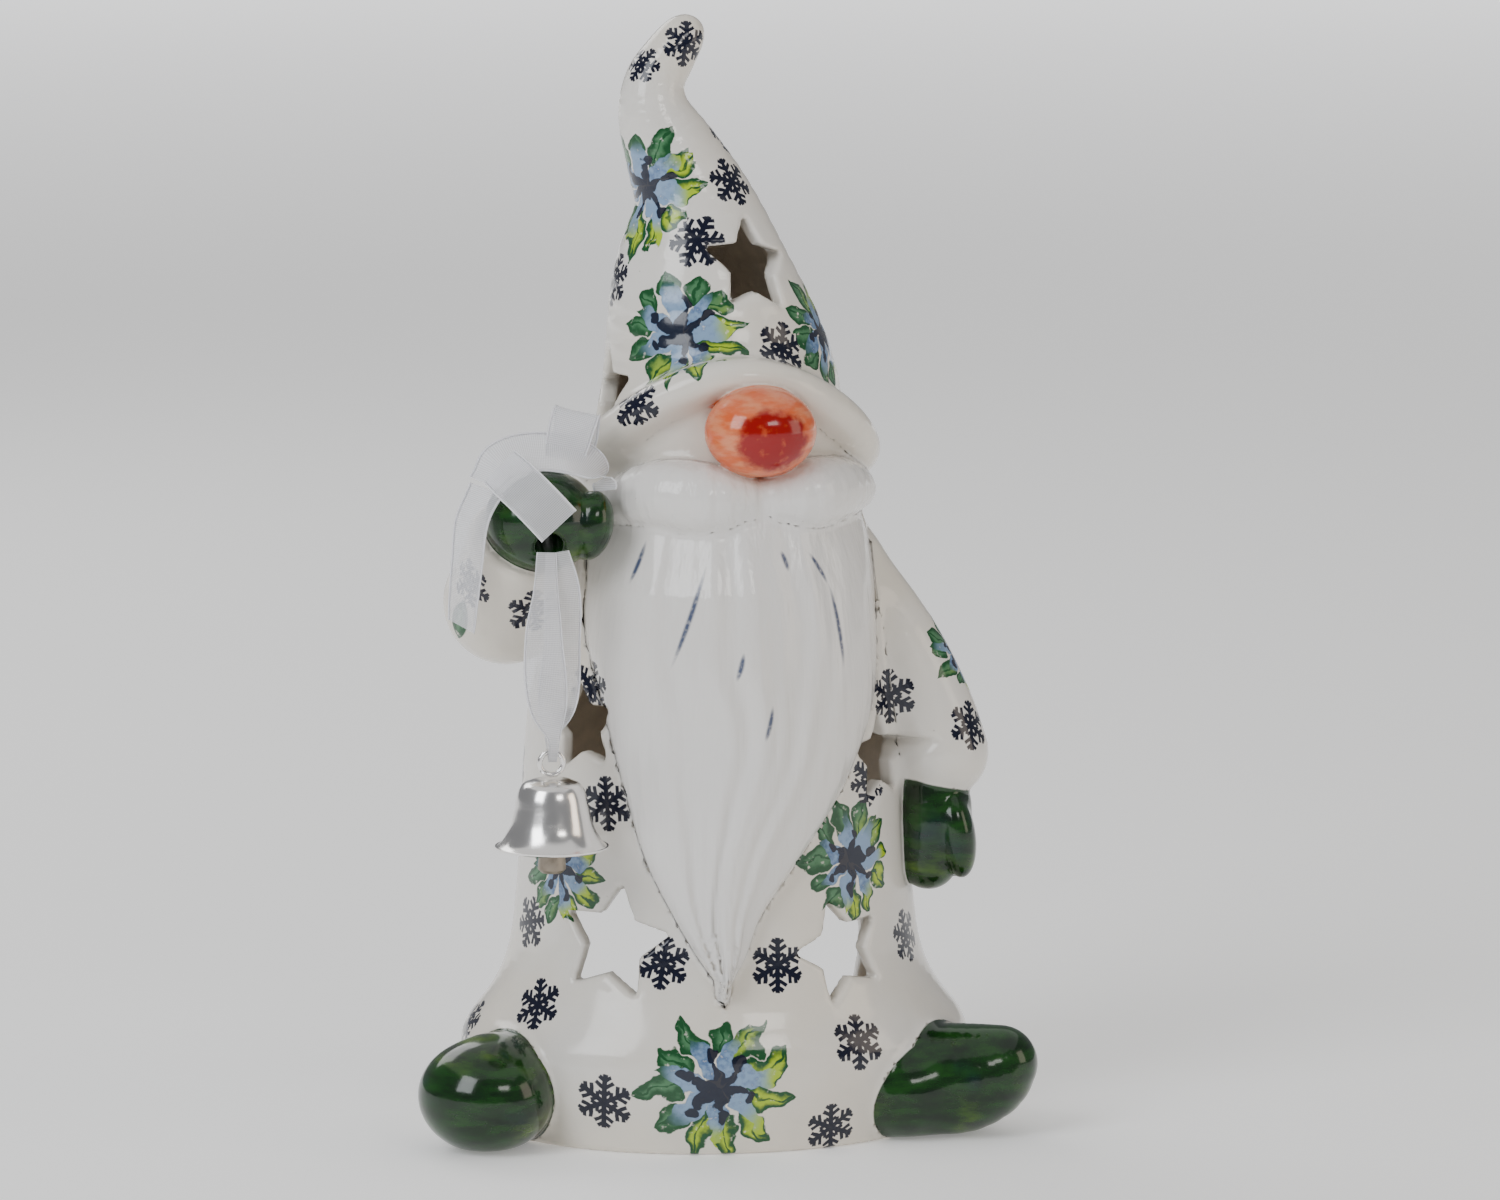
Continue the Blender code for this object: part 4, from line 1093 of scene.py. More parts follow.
    def petal(self, x: Shade, y: Shade, centre: float, half_length: Any, half_width: float) -> Shade:
        """Below 1 inside a pointed oval that lies along x."""
        return abs(y) / half_width + ((x - centre) / half_length) ** 2.0

    def sector(self, paint: Paint, u: Shade, v: Shade, count: int, offset: float) -> tuple[Shade, Shade,
            Shade]:
        """Fold a round pattern into one of its repeats; gives x along it, y across it and its number."""
        wide = 2 * math.pi / count
        angle = paint.math('ARCTAN2', u, v) + (offset + math.pi + wide / 2)
        inside = angle % wide - wide / 2
        reach = (u * u + v * v) ** 0.5
        number = (angle / wide).math('FLOOR')
        return reach * inside.math('COSINE'), reach * inside.math('SINE'), number

    def chance(self, paint: Paint, number: Shade, seed: Shade) -> Shade:
        """A repeatable number between 0 and 1 for each petal."""
        made = paint.node('ShaderNodeTexWhiteNoise', {"noise_dimensions": '1D'},
                          {"W": number + seed * 17.0})
        return Shade(paint, made.outputs[0])

    def flower(self, paint: Paint, u: Shade, v: Shade, seed: Shade, worn: Shade) -> tuple[Shade, Shade,
            Shade]:
        """Two rings of brushed petals round a dark six-armed heart.

        Args:
            paint: The material.
            u: Across the flower, 1 at its edge.
            v: Up the flower.
            seed: The flower's own number.
            worn: Uneven colour.

        Returns:
            Mask of the petals, mask of the heart, and the petals' colour.
        """
        x, y, number = self.sector(paint, u, v, 11, 0.2)
        luck = self.chance(paint, number, seed)
        y = y + (x - 0.5) * (luck - 0.5) * 0.35
        outer = self.petal(x, y, 0.62, 0.20 + 0.24 * luck, 0.170)
        side = (u * 0.8 - v * 0.45 + (luck - 0.5) * 0.5).rise(-0.15, 0.25)
        heart = paint.mix(side, self.mid_leaf, self.lime)
        vein = (abs(y) * 9.0).fall(0.05, 0.22) * 0.6
        outer_colour = paint.mix((outer + worn * 0.6 + vein - 0.1).rise(0.45, 0.95), heart, self.leaf)
        a, b, petal_number = self.sector(paint, u, v, 7, 0.0)
        petal_luck = self.chance(paint, petal_number, seed + 3.0)
        inner = self.petal(a, b, 0.38, 0.28 + 0.20 * petal_luck, 0.135)
        inner_colour = paint.mix((worn + petal_luck * 0.3).rise(0.35, 0.75), self.blue, self.pale_blue)
        tip = paint.mix(side, self.leaf, self.lime)
        inner_colour = paint.mix(a.rise(0.42, 0.72), inner_colour, tip)
        over = inner.fall(0.90, 1.0)
        mask = outer.fall(0.90, 1.0).most(over)
        c, d, _ = self.sector(paint, u, v, 6, 0.15)
        arm = self.petal(c, d, 0.15, 0.22, 0.080).fall(0.85, 1.0)
        dot = ((c - 0.400) ** 2.0 + d * d) ** 0.5
        ink = arm.most(dot.fall(0.066, 0.080)).most(((c * c + d * d) ** 0.5).fall(0.09, 0.105))
        return mask, ink, paint.mix(over, outer_colour, inner_colour)

    def snowflake(self, paint: Paint, u: Shade, v: Shade) -> Shade:
        """Six arms, each with three pairs of twigs."""
        x, y, _ = self.sector(paint, u, v, 6, 0.0)
        y = abs(y)
        mask = y.fall(0.080, 0.105) * x.fall(0.95, 0.99)
        lean = math.radians(56)
        for start, reach in ((0.26, 0.26), (0.50, 0.38), (0.76, 0.26)):
            across = abs((x - start) * math.sin(lean) - y * math.cos(lean))
            along = (x - start) * math.cos(lean) + y * math.sin(lean)
            mask = mask.most(across.fall(0.058, 0.082) * along.fall(reach - 0.02, reach + 0.02))
        return mask

    def greens(self, paint: Paint, place: Shade) -> Shade:
        """Brushed green glaze: dark and light streaks, lime patches, a teal pool and a lime break at the
        rims.
        """
        pulled = paint.vector('MULTIPLY', place, (0.9, 0.35, 2.6))
        streak = paint.noise(pulled, 0.006, 5.0, 21.0).rise(0.32, 0.70)
        colour = paint.mix(streak, self.green_dark, self.green)
        patch = paint.noise(place, 0.016, 2.0, 22.0)
        colour = paint.mix(patch.rise(0.54, 0.72) * streak, colour, self.green_lime)
        pool = paint.noise(place, 0.014, 2.0, 27.0)
        colour = paint.mix(pool.rise(0.56, 0.72) * 0.7, colour, self.teal)
        rim = paint.attribute("rim").rise(0.4, 1.0)
        return paint.mix(rim * 0.4, colour, self.green_lime)

    def nose(self, paint: Paint, place: Shade) -> Shade:
        """Orange wash with a mottled red patch on the side that looks away."""
        centre = paint.vector('SUBTRACT', place, NOSE_PATCH)
        rough_edge = (paint.noise(place, 0.0025, 4.0, 31.0) - 0.5) * 0.0042
        reach = paint.length(paint.vector('MULTIPLY', centre, (0.88, 0.55, 1.0))) + rough_edge
        streak = paint.noise(paint.vector('MULTIPLY', place, (1.0, 1.0, 3.0)), 0.005, 4.0, 32.0).rise(0.35,
                0.68)
        rim = paint.mix(streak, self.nose_orange, self.nose_pale)
        mottle = paint.noise(place, 0.0022, 4.0, 33.0).rise(0.56, 0.74)
        red = paint.mix(mottle * 0.45, self.nose_red, self.nose_orange)
        return paint.mix(reach.fall(0.0058, 0.0080), rim, red)


@dataclass(frozen=True)
class SheerRibbon:
    """Fine sheer weave with closer, brighter edges."""

    name: str = "sheer_ribbon"
    white: Colour = (0.86, 0.86, 0.89)
    pitch: float = 0.00042

    def build(self) -> bpy.types.Material:
        """Make the weave from the run's own along and across."""
        paint = Paint(self.name)
        along = paint.attribute("along") / self.pitch
        across = paint.attribute("across_share")
        weft = (along * (2 * math.pi)).math('SINE') * 0.5 + 0.5
        warp = (across * (2 * math.pi * 12)).math('SINE') * 0.5 + 0.5
        edge = abs(across).rise(0.88, 0.94)
        slack = paint.noise(paint.place(), 0.006, 2.0, 41.0)
        cover = 0.24 + 0.16 * weft + 0.08 * warp + 0.12 * slack + 0.60 * edge
        return paint.finish({
            "Base Color": (*self.white, 1.0), "Roughness": 0.42 + 0.2 * weft,
            "Sheen Weight": 0.5, "Sheen Roughness": 0.35, "Specular IOR Level": 0.45,
            "Normal": paint.bump(weft * 0.5 + warp * 0.5, 0.00006),
        }, clear=(1.0 - cover).most(0.0))


@dataclass(frozen=True)
class TurnedMetal:
    """Metal with fine rings left by spinning, and light wear."""

    name: str
    colour: Colour = (0.78, 0.77, 0.76)
    dull: Colour = (0.42, 0.38, 0.33)
    rough: float = 0.10
    worn: float = 0.25
    axis: tuple[float, float, float] = (0.0, 0.0, 0.0)

    def build(self) -> bpy.types.Material:
        """Make the metal."""
        paint = Paint(self.name)
        place = paint.vector('SUBTRACT', paint.place(), self.axis)
        cloud = paint.noise(place, 0.004, 4.0, 51.0)
        rings = paint.noise(paint.vector('MULTIPLY', place, (0.02, 0.02, 1.0)), 0.0004, 2.0, 52.0)
        wear = cloud.rise(0.52, 0.74)
        colour = paint.mix(wear * self.worn, self.colour, self.dull)
        return paint.finish({
            "Base Color": colour, "Metallic": 1.0, "Roughness": self.rough + 0.10 * wear + 0.05 * rings,
            "Normal": paint.bump(rings * 0.3 + cloud * 0.7, 0.00002),
        })


@dataclass(frozen=True)
class CandleWax:
    """White wax, a little cloudy."""

    name: str = "candle_wax"
    white: Colour = (0.86, 0.84, 0.78)

    def build(self) -> bpy.types.Material:
        """Make the wax."""
        paint = Paint(self.name)
        cloud = paint.noise(paint.place(), 0.005, 3.0, 61.0)
        colour = paint.mix(cloud, self.white, (0.78, 0.74, 0.66))
        return paint.finish({
            "Base Color": colour, "Roughness": 0.35 + 0.2 * cloud,
            "Subsurface Weight": 0.35, "Subsurface Radius": (0.004, 0.003, 0.002), "Subsurface Scale": 1.0,
            "Normal": paint.bump(cloud, 0.0001),
        })


@dataclass(frozen=True)
class BraidedCotton:
    """Braided wick."""

    name: str = "wick_cotton"

    def build(self) -> bpy.types.Material:
        """Make the cotton with slanting strands, darker in the grooves between them as painted shade."""
        paint = Paint(self.name)
        x, y, z = paint.split(paint.place())
        strand = ((z * 2600.0 + paint.math('ARCTAN2', x, y) * 3.0).math('SINE')) * 0.5 + 0.5
        # painted shade: the grooves, low in the bump, take the darker colour
        colour = paint.mix(strand, (0.34, 0.30, 0.24), (0.70, 0.66, 0.58))
        return paint.finish({"Base Color": colour, "Roughness": 0.85, "Normal": paint.bump(strand, 0.0002)})


# ---- Stamps on the clay --------------------------------------------------------


@dataclass
class Decorator:
    """Gives each face of the clay the mark that lies on it."""

    marks: Sequence[Mark]
    flower_edge: float = 1.06
    facing: float = 0.30

    def place_marks(self, pieces: Sequence[bpy.types.Object]) -> list[
        tuple[Mark, np.ndarray, np.ndarray, np.ndarray]]:
        """Find where each mark's middle lies and which way it faces.

        Args:
            pieces: The clay pieces.

        Returns:
            Each mark with its middle, its upward direction and its normal.
        """
        trees = [BVHTree.FromPolygons([v.co for v in piece.data.vertices],
                                      [tuple(face.vertices) for face in piece.data.polygons])
                 for piece in pieces]
        found = []
        for mark in self.marks:
            turn = math.radians(mark.turn)
            start = Vector((math.sin(turn) * 0.15, -math.cos(turn) * 0.15, mark.height))
            ray = Vector((-start.x, -start.y, 0.0)).normalized()
            hits = [tree.ray_cast(start, ray) for tree in trees]
            hits = [hit for hit in hits if hit[0] is not None]
            if not hits:
                continue
            place, normal, _, _ = min(hits, key=lambda hit: hit[3])
            normal = normal.normalized()
            if normal.dot(ray) > 0:
                normal = -normal
            up = (Vector((0, 0, 1)) - normal * normal.z).normalized()
            up = Matrix.Rotation(math.radians(mark.roll), 3, -normal) @ up
            found.append((mark, np.array(place), np.array(up), np.array(normal)))
        return found

    def dress(self, pieces: Sequence[bpy.types.Object]) -> None:
        """Write each piece's mark coordinates, kinds and seeds."""
        placed = self.place_marks(pieces)
        for piece in pieces:
            self.dress_piece(piece, placed)

    def dress_piece(self, piece: bpy.types.Object, placed: Sequence[tuple]) -> None:
        """Write one piece's marks: each face takes the nearest that reaches it."""
        mesh = piece.data
        count = len(mesh.polygons)
        spots = np.empty(len(mesh.vertices) * 3, np.float32)
        mesh.vertices.foreach_get("co", spots)
        spots = spots.reshape(-1, 3).astype(float)
        corners = np.empty(len(mesh.loops), np.int32)
        mesh.loops.foreach_get("vertex_index", corners)
        quads = corners.reshape(count, 4)
        centre = spots[quads].mean(1)
        normal = np.cross(spots[quads[:, 2]] - spots[quads[:, 0]], spots[quads[:, 3]] - spots[quads[:, 1]])
        normal /= np.sqrt((normal ** 2).sum(1))[:, None] + 1e-12
        nearest = np.full(count, self.flower_edge + 0.15)
        chosen = np.full(count, -1)
        for number, (mark, middle, _, facing) in enumerate(placed):
            reach = np.sqrt(((centre - middle) ** 2).sum(1)) / mark.radius
            takes = (reach < nearest) & (normal @ facing > self.facing)
            nearest[takes] = reach[takes]
            chosen[takes] = number
        uv = np.full((count, 4, 2), 5.0)
        kind = np.zeros(count)
        seed = np.zeros(count)
        for number, (mark, middle, up, facing) in enumerate(placed):
            here = chosen == number
            if not here.any():
                continue
            offset = spots[quads[here]] - middle
            flat = offset - (offset @ facing)[..., None] * facing
            stretch = np.sqrt((offset ** 2).sum(-1)) / (np.sqrt((flat ** 2).sum(-1)) + 1e-9)
            right = np.cross(up, facing)
            uv[here, :, 0] = (flat @ right) * stretch / mark.radius
            uv[here, :, 1] = (flat @ up) * stretch / mark.radius
            kind[here] = mark.kind.value
            seed[here] = mark.radius / MM if mark.kind is MarkKind.STROKE else number % 7
        layer = mesh.uv_layers.new(name="mark")
        layer.data.foreach_set("uv", uv.ravel().astype(np.float32))
        for name, values in (("mark_kind", kind), ("mark_seed", seed)):
            made = mesh.attributes.new(name, 'FLOAT', 'FACE')
            made.data.foreach_set("value", values.astype(np.float32))


FLAKE = MarkKind.SNOWFLAKE
FLOWER = MarkKind.FLOWER
LEAF = MarkKind.LEAF
STROKE = MarkKind.STROKE

FRONT_MARKS = (
    Mark(FLAKE, -22, 0.2024, 0.0066, 25), Mark(FLAKE, 14, 0.2148, 0.0060, -10),
    Mark(FLAKE, 27, 0.1786, 0.0064, 18), Mark(FLAKE, -41, 0.1672, 0.0062, -20),
    Mark(FLAKE, -54, 0.2455, 0.0055, 10), Mark(FLAKE, -84, 0.1927, 0.0064, 5),
    Mark(FLAKE, -76, 0.2408, 0.0045, 30), Mark(FLAKE, -26, 0.0431, 0.0062, 8),
    Mark(FLAKE, 11, 0.0422, 0.0064, 2), Mark(FLAKE, -64, 0.0316, 0.0064, -14),
    Mark(FLAKE, -40, 0.0122, 0.0068, 6), Mark(FLAKE, 33, 0.0244, 0.0066, 4),
    Mark(FLAKE, 26, 0.0052, 0.0062, -8), Mark(FLAKE, -76, 0.0486, 0.0064, 16),
    Mark(FLAKE, -54, 0.1031, 0.0066, 12), Mark(FLAKE, -46, 0.0780, 0.0064, -6),
    Mark(FLAKE, -50, 0.0400, 0.0060, 22), Mark(FLAKE, 63, 0.0990, 0.0064, 0),
    Mark(FLAKE, 71, 0.0920, 0.0060, 14), Mark(FLAKE, 65, 0.0442, 0.0064, -12),
    Mark(FLAKE, 49, 0.0812, 0.0062, 20), Mark(FLAKE, -90, 0.0236, 0.0066, 8),
    Mark(FLAKE, -60, 0.1217, 0.0064, -18), Mark(FLAKE, -69, 0.1276, 0.0060, 10),
    Mark(FLOWER, -28, 0.1825, 0.0160, 8), Mark(FLOWER, -70, 0.2130, 0.0165, 20),
    Mark(FLOWER, 66, 0.1800, 0.0150, -20), Mark(FLOWER, -9, 0.0160, 0.0190, 0),
    Mark(FLOWER, 40, 0.0640, 0.0150, 14), Mark(FLOWER, -63, 0.0620, 0.0140, -10),
    Mark(FLOWER, 80, 0.1070, 0.0118, 25), Mark(LEAF, -74, 0.1185, 0.0066, 30),
    Mark(STROKE, -36, 0.1323, 0.0056, 14), Mark(STROKE, -17, 0.1210, 0.0130, 17),
    Mark(STROKE, -2, 0.1103, 0.0036, 14), Mark(STROKE, 14, 0.1330, 0.0028, -14),
    Mark(STROKE, 26, 0.1310, 0.0045, -26), Mark(STROKE, 31, 0.1180, 0.0105, -6),
    Mark(STROKE, 6, 0.0976, 0.0045, 15),
)
BACK_MARKS = (
    Mark(FLOWER, 118, 0.0300, 0.0170, 10), Mark(FLOWER, -120, 0.1080, 0.0160, -15),
    Mark(FLOWER, 140, 0.1200, 0.0160, 20), Mark(FLOWER, -150, 0.2000, 0.0150, 0),
    Mark(FLOWER, 120, 0.1640, 0.0140, 12), Mark(FLOWER, -118, 0.0300, 0.0160, 0),
    Mark(FLAKE, 95, 0.0600, 0.0066, 5), Mark(FLAKE, 108, 0.0820, 0.0064, 18),
    Mark(FLAKE, -98, 0.0820, 0.0066, -8), Mark(FLAKE, 158, 0.0860, 0.0066, 12),
    Mark(FLAKE, -158, 0.0840, 0.0064, -4), Mark(FLAKE, -160, 0.1330, 0.0066, 9),
    Mark(FLAKE, 172, 0.1360, 0.0060, -20), Mark(FLAKE, 92, 0.1330, 0.0062, 14),
    Mark(FLAKE, -125, 0.1720, 0.0064, 3), Mark(FLAKE, 100, 0.1950, 0.0064, -12),
    Mark(FLAKE, 160, 0.2080, 0.0062, 8), Mark(FLAKE, -165, 0.1650, 0.0062, 24),
    Mark(FLAKE, 145, 0.0560, 0.0064, 2), Mark(FLAKE, -140, 0.0620, 0.0064, 15),
    Mark(FLAKE, 130, 0.2240, 0.0058, 0), Mark(FLAKE, 90, 0.0180, 0.0064, 6),
    Mark(FLAKE, 140, 0.0100, 0.0062, -9), Mark(FLAKE, -140, 0.0100, 0.0064, 13),
)
NOSE_PATCH = (0.0058, -0.0430, 0.1603)


# ---- Ribbon ---------------------------------------------------------------------


class NodeSweep:
    """A geometry node tree under construction."""

    def __init__(self, name: str) -> None:
        """Start a tree that takes and gives geometry."""
        self.tree = bpy.data.node_groups.new(name, 'GeometryNodeTree')
        self.tree.interface.new_socket("Geometry", in_out='INPUT', socket_type='NodeSocketGeometry')
        self.tree.interface.new_socket("Geometry", in_out='OUTPUT', socket_type='NodeSocketGeometry')
        self.entry = self.tree.nodes.new('NodeGroupInput')
        self.exit = self.tree.nodes.new('NodeGroupOutput')
        self.names: dict[str, str] = {}

    def size(self, name: str, kind: str = 'NodeSocketFloat') -> bpy.types.NodeSocket:
        """Add a named input and give its socket inside the tree."""
        made = self.tree.interface.new_socket(name, in_out='INPUT', socket_type=kind)
        self.names[name] = made.identifier
        return next(socket for socket in self.entry.outputs if socket.identifier == made.identifier)

    def node(self, kind: str, settings: dict[str, Any], values: dict[Any, Any]) -> bpy.types.Node:
        """Add a node, set its properties, then set or link its inputs."""
        made = self.tree.nodes.new(kind)
        for key, value in settings.items():
            setattr(made, key, value)
        for key, value in values.items():
            if isinstance(value, bpy.types.NodeSocket):
                self.tree.links.new(value, made.inputs[key])
            else:
                made.inputs[key].default_value = value
        return made

    def math(self, operation: str, *values: Any) -> bpy.types.NodeSocket:
        """One Math node."""
        return self.node('ShaderNodeMath', {"operation": operation}, dict(enumerate(values))).outputs[0]

    def end(self, geometry: bpy.types.NodeSocket, finish: bpy.types.NodeSocket) -> None:
        """Realize, smooth and dress the result."""
        real = self.node('GeometryNodeRealizeInstances', {}, {0: geometry}).outputs[0]
        smooth = self.node('GeometryNodeSetShadeSmooth', {}, {0: real}).outputs[0]
        dressed = self.node('GeometryNodeSetMaterial', {},
                            {"Geometry": smooth, "Material": finish}).outputs[0]
        self.tree.links.new(dressed, self.exit.inputs[0])

    def run(self, name: str, guide: bpy.types.Mesh, sizes: dict[str, Any]) -> bpy.types.Object:
        """Evaluate the tree on a guide mesh and keep the result as a plain mesh.

        Args:
            name: The piece's name.
            guide: The mesh that goes in.
            sizes: Each named input's value.

        Returns:
            The finished object.
        """
        holder = bpy.data.objects.new(name + "_guide", guide)
        bpy.context.scene.collection.objects.link(holder)
        step = holder.modifiers.new("sweep", 'NODES')
        step.node_group = self.tree
        for key, value in sizes.items():
            step[self.names[key]] = value
        plain = bpy.data.meshes.new_from_object(holder.evaluated_get(bpy.context.evaluated_depsgraph_get()))
        plain.name = name
        holder.modifiers.clear()
        bpy.data.objects.remove(holder, do_unlink=True)
        made = bpy.data.objects.new(name, plain)
        bpy.context.scene.collection.objects.link(made)
        return made


@dataclass
class RibbonRun:
    """One run of ribbon: a path, the ribbon's width direction along it, and how far it is gathered."""

    name: str
    stations: Sequence[Sequence[float]]     # x, y, z, direction x, y, z, share of the width
    replaces: tuple[str, ...]
    body: str
    held: str
    rests_on: tuple[str, ...] = ()


@dataclass
class Ribbon:
    """The sheer ribbon: a folded bow on the raised fist and a hanging run through the bell's loop."""

    width: float = 0.0100
    thickness: float = 0.00016
    thread: float = 0.00022
    spacing: float = 0.0006
    loop_wire: float = 0.0012       # of the bell's loop
    inset: float = 0.0009           # of the weave inside each strand's room

    def sweep(self) -> NodeSweep:
        """Build the tree that sweeps the weave and its two edge threads along a path."""
        sweep = NodeSweep("ribbon_sweep")
        width = sweep.size("Width")
        thickness = sweep.size("Thickness")
        thread = sweep.size("Edge thread")
        spacing = sweep.size("Spacing")
        finish = sweep.size("Finish", 'NodeSocketMaterial')
        path = sweep.node('GeometryNodeMeshToCurve', {}, {0: sweep.entry.outputs[0]}).outputs[0]
        path = sweep.node('GeometryNodeResampleCurve', {"mode": 'LENGTH'},
                          {"Curve": path, "Length": spacing}).outputs[0]
        side = sweep.node('GeometryNodeInputNamedAttribute', {"data_type": 'FLOAT_VECTOR'},
                          {"Name": "side"}).outputs[0]
        path = sweep.node('GeometryNodeSetCurveNormal', {"mode": 'FREE'},
                          {"Curve": path, "Normal": side}).outputs[0]
        share = sweep.node('GeometryNodeInputNamedAttribute', {"data_type": 'FLOAT'},
                           {"Name": "gather"}).outputs[0]
        along = sweep.node('GeometryNodeSplineParameter', {}, {}).outputs["Length"]
        path = sweep.node('GeometryNodeStoreNamedAttribute', {"data_type": 'FLOAT', "domain": 'POINT'},
                          {"Geometry": path, "Name": "along", "Value": along}).outputs[0]
        weave = sweep.node('GeometryNodeCurvePrimitiveQuadrilateral', {},
                           {"Width": width, "Height": thickness})
        parts = [sweep.node('GeometryNodeResampleCurve', {},
                            {"Curve": weave.outputs[0], "Count": 24}).outputs[0]]
        for side_sign in (-0.5, 0.5):
            ring = sweep.node('GeometryNodeCurvePrimitiveCircle', {},
                              {"Resolution": 8, "Radius": thread}).outputs[0]
            shift = sweep.node('ShaderNodeCombineXYZ', {},
                               {"X": sweep.math('MULTIPLY', width, side_sign)}).outputs[0]
            parts.append(sweep.node('GeometryNodeTransform', {},
                                    {"Geometry": ring, "Translation": shift}).outputs[0])
        joined = sweep.node('GeometryNodeJoinGeometry', {}, {})
        for part in parts:
            sweep.tree.links.new(part, joined.inputs[0])
        spot = sweep.node('GeometryNodeInputPosition', {}, {}).outputs[0]
        spot_x = sweep.node('ShaderNodeSeparateXYZ', {}, {0: spot}).outputs[0]
        across = sweep.math('DIVIDE', spot_x, sweep.math('MULTIPLY', width, 0.5))
        profile = sweep.node('GeometryNodeStoreNamedAttribute', {"data_type": 'FLOAT', "domain": 'POINT'},
                             {"Geometry": joined.outputs[0], "Name": "across_share",
                              "Value": across}).outputs[0]
        swept = sweep.node('GeometryNodeCurveToMesh', {},
                           {"Curve": path, "Profile Curve": profile, "Scale": share,
                            "Fill Caps": True}).outputs[0]
        sweep.end(swept, finish)
        return sweep

    def guide(self, run: RibbonRun) -> bpy.types.Mesh:
        """The run's path as a mesh line that carries its width direction and its gathering."""
        rows = smooth_rows(run.stations, 10)
        mesh = bpy.data.meshes.new(run.name + "_path")
        mesh.from_pydata([tuple(row[:3]) for row in rows], [(i, i + 1) for i in range(len(rows) - 1)], [])
        tangent = np.gradient(rows[:, :3], axis=0)
        tangent /= np.linalg.norm(tangent, axis=1)[:, None]
        side = rows[:, 3:6] - (rows[:, 3:6] * tangent).sum(1)[:, None] * tangent
        side /= np.linalg.norm(side, axis=1)[:, None]
        layer = mesh.attributes.new("side", 'FLOAT_VECTOR', 'POINT')
        layer.data.foreach_set("vector", side.ravel().astype(np.float32))
        layer = mesh.attributes.new("gather", 'FLOAT', 'POINT')
        layer.data.foreach_set("value", rows[:, 6].astype(np.float32))
        return mesh

    def runs(self) -> list[RibbonRun]:
        """Where each run lies, from the frame's own strands and bell loop."""
        loop_high = Vector(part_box("bell_loop")[1])
        strand_low, strand_high = (Vector(corner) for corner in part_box("ribbon_front_strand"))
        x = (strand_low.x + strand_high.x) / 2
        top = strand_high.z
        eye = loop_high.z - self.loop_wire
        near = strand_low.y + self.inset
        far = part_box("ribbon_rear_strand")[1][1] - self.inset
        bend = near * 0.55 + far * 0.45
        level = (1.0, 0.0, 0.0)
        hanging = [
            (x - 0.0010, near + 0.0012, top + 0.0006, *level, 0.42),
            (x - 0.0014, near, top - 0.008, 1.0, 0.15, 0.0, 0.56),
            (x - 0.0019, near - 0.0002, top - 0.020, 1.0, -0.30, 0.0, 0.84),
            (x - 0.0010, near, top - 0.033, 1.0, 0.2, 0.0, 0.88),
            (x + 0.0001, bend - 0.0018, eye + 0.0040, *level, 0.30),
            (x + 0.0001, bend - 0.0014, eye + 0.0004, *level, 0.20),
            (x + 0.0001, bend, eye - 0.0018, *level, 0.18),
            (x + 0.0001, bend + 0.0014, eye + 0.0004, *level, 0.20),
            (x + 0.0001, bend + 0.0018, eye + 0.0040, *level, 0.30),
            (x + 0.0014, far, top - 0.033, 1.0, -0.2, 0.0, 0.84),
            (x + 0.0026, far + 0.0002, top - 0.020, 1.0, 0.30, 0.0, 0.86),
            (x + 0.0026, far, top - 0.008, 1.0, -0.1, 0.0, 0.76),
            (x + 0.0014, far - 0.0010, top + 0.0006, *level, 0.50),
        ]
        slant = (0.713, -0.03, 0.70)
        front = [
            (-0.0535, -0.0325, 0.1546, *slant, 0.96), (-0.0515, -0.0365, 0.1527, *slant, 1.0),
            (-0.0480, -0.0395, 0.1492, *slant, 1.0), (-0.0445, -0.0407, 0.1455, *slant, 1.0),
            (-0.0415, -0.0408, 0.1422, *slant, 1.0),
        ]
        left = [
            (-0.0560, -0.0300, 0.1495, 0.80, -0.55, 0.25, 0.95),
            (-0.0595, -0.0312, 0.1425, 0.70, -0.68, 0.15, 0.92),
            (-0.0606, -0.0312, 0.1335, 0.66, -0.74, 0.10, 0.88),
            (-0.0612, -0.0292, 0.1250, 0.62, -0.77, 0.05, 0.84),
            (-0.0614, -0.0268, 0.1185, 0.58, -0.80, 0.0, 0.80),
        ]
        band = (0.10, -0.62, -0.74)
        side = [
            (-0.0560, -0.0305, 0.1505, 0.30, -0.55, -0.75, 0.95), (-0.0535, -0.0300, 0.1550, *band, 1.0),
            (-0.0480, -0.0295, 0.1572, *band, 1.0), (-0.0410, -0.0295, 0.1572, *band, 1.0),
            (-0.0345, -0.0305, 0.1555, *band, 0.95), (-0.0305, -0.0320, 0.1520, 0.30, -0.60, -0.70, 0.80),
            (-0.0300, -0.0325, 0.1488, 0.50, -0.60, -0.50, 0.64),
        ]
        broad = (0.96, -0.17, -0.20)
        upper = [
            (-0.0385, -0.0290, 0.1555, *broad, 0.85), (-0.0375, -0.0285, 0.1600, *broad, 0.95),
            (-0.0362, -0.0275, 0.1640, *broad, 1.0), (-0.0352, -0.0262, 0.1658, *broad, 1.0),
            (-0.0350, -0.0248, 0.1645, *broad, 1.0), (-0.0352, -0.0242, 0.1600, *broad, 0.95),
            (-0.0360, -0.0245, 0.1560, *broad, 0.85),
        ]
        return [
            RibbonRun("ribbon_front_weave", front, ("ribbon_front_tail",), "figurine", "folded",
                      ("raised_mitten",)),
            RibbonRun("ribbon_left_weave", left, ("ribbon_left_tail",), "figurine", "draped",
                      ("raised_sleeve",)),
            RibbonRun("ribbon_side_weave", side, ("ribbon_side_loop",), "figurine", "folded",
                      ("raised_mitten",)),
            RibbonRun("ribbon_upper_weave", upper, ("ribbon_upper_loop",), "figurine", "folded",
                      ("raised_mitten",)),
            RibbonRun("ribbon_hanging_weave", hanging,
                      ("ribbon_front_strand", "ribbon_rear_strand", "ribbon_fold"),
                      "ribbon_drop", "hung"),
        ]

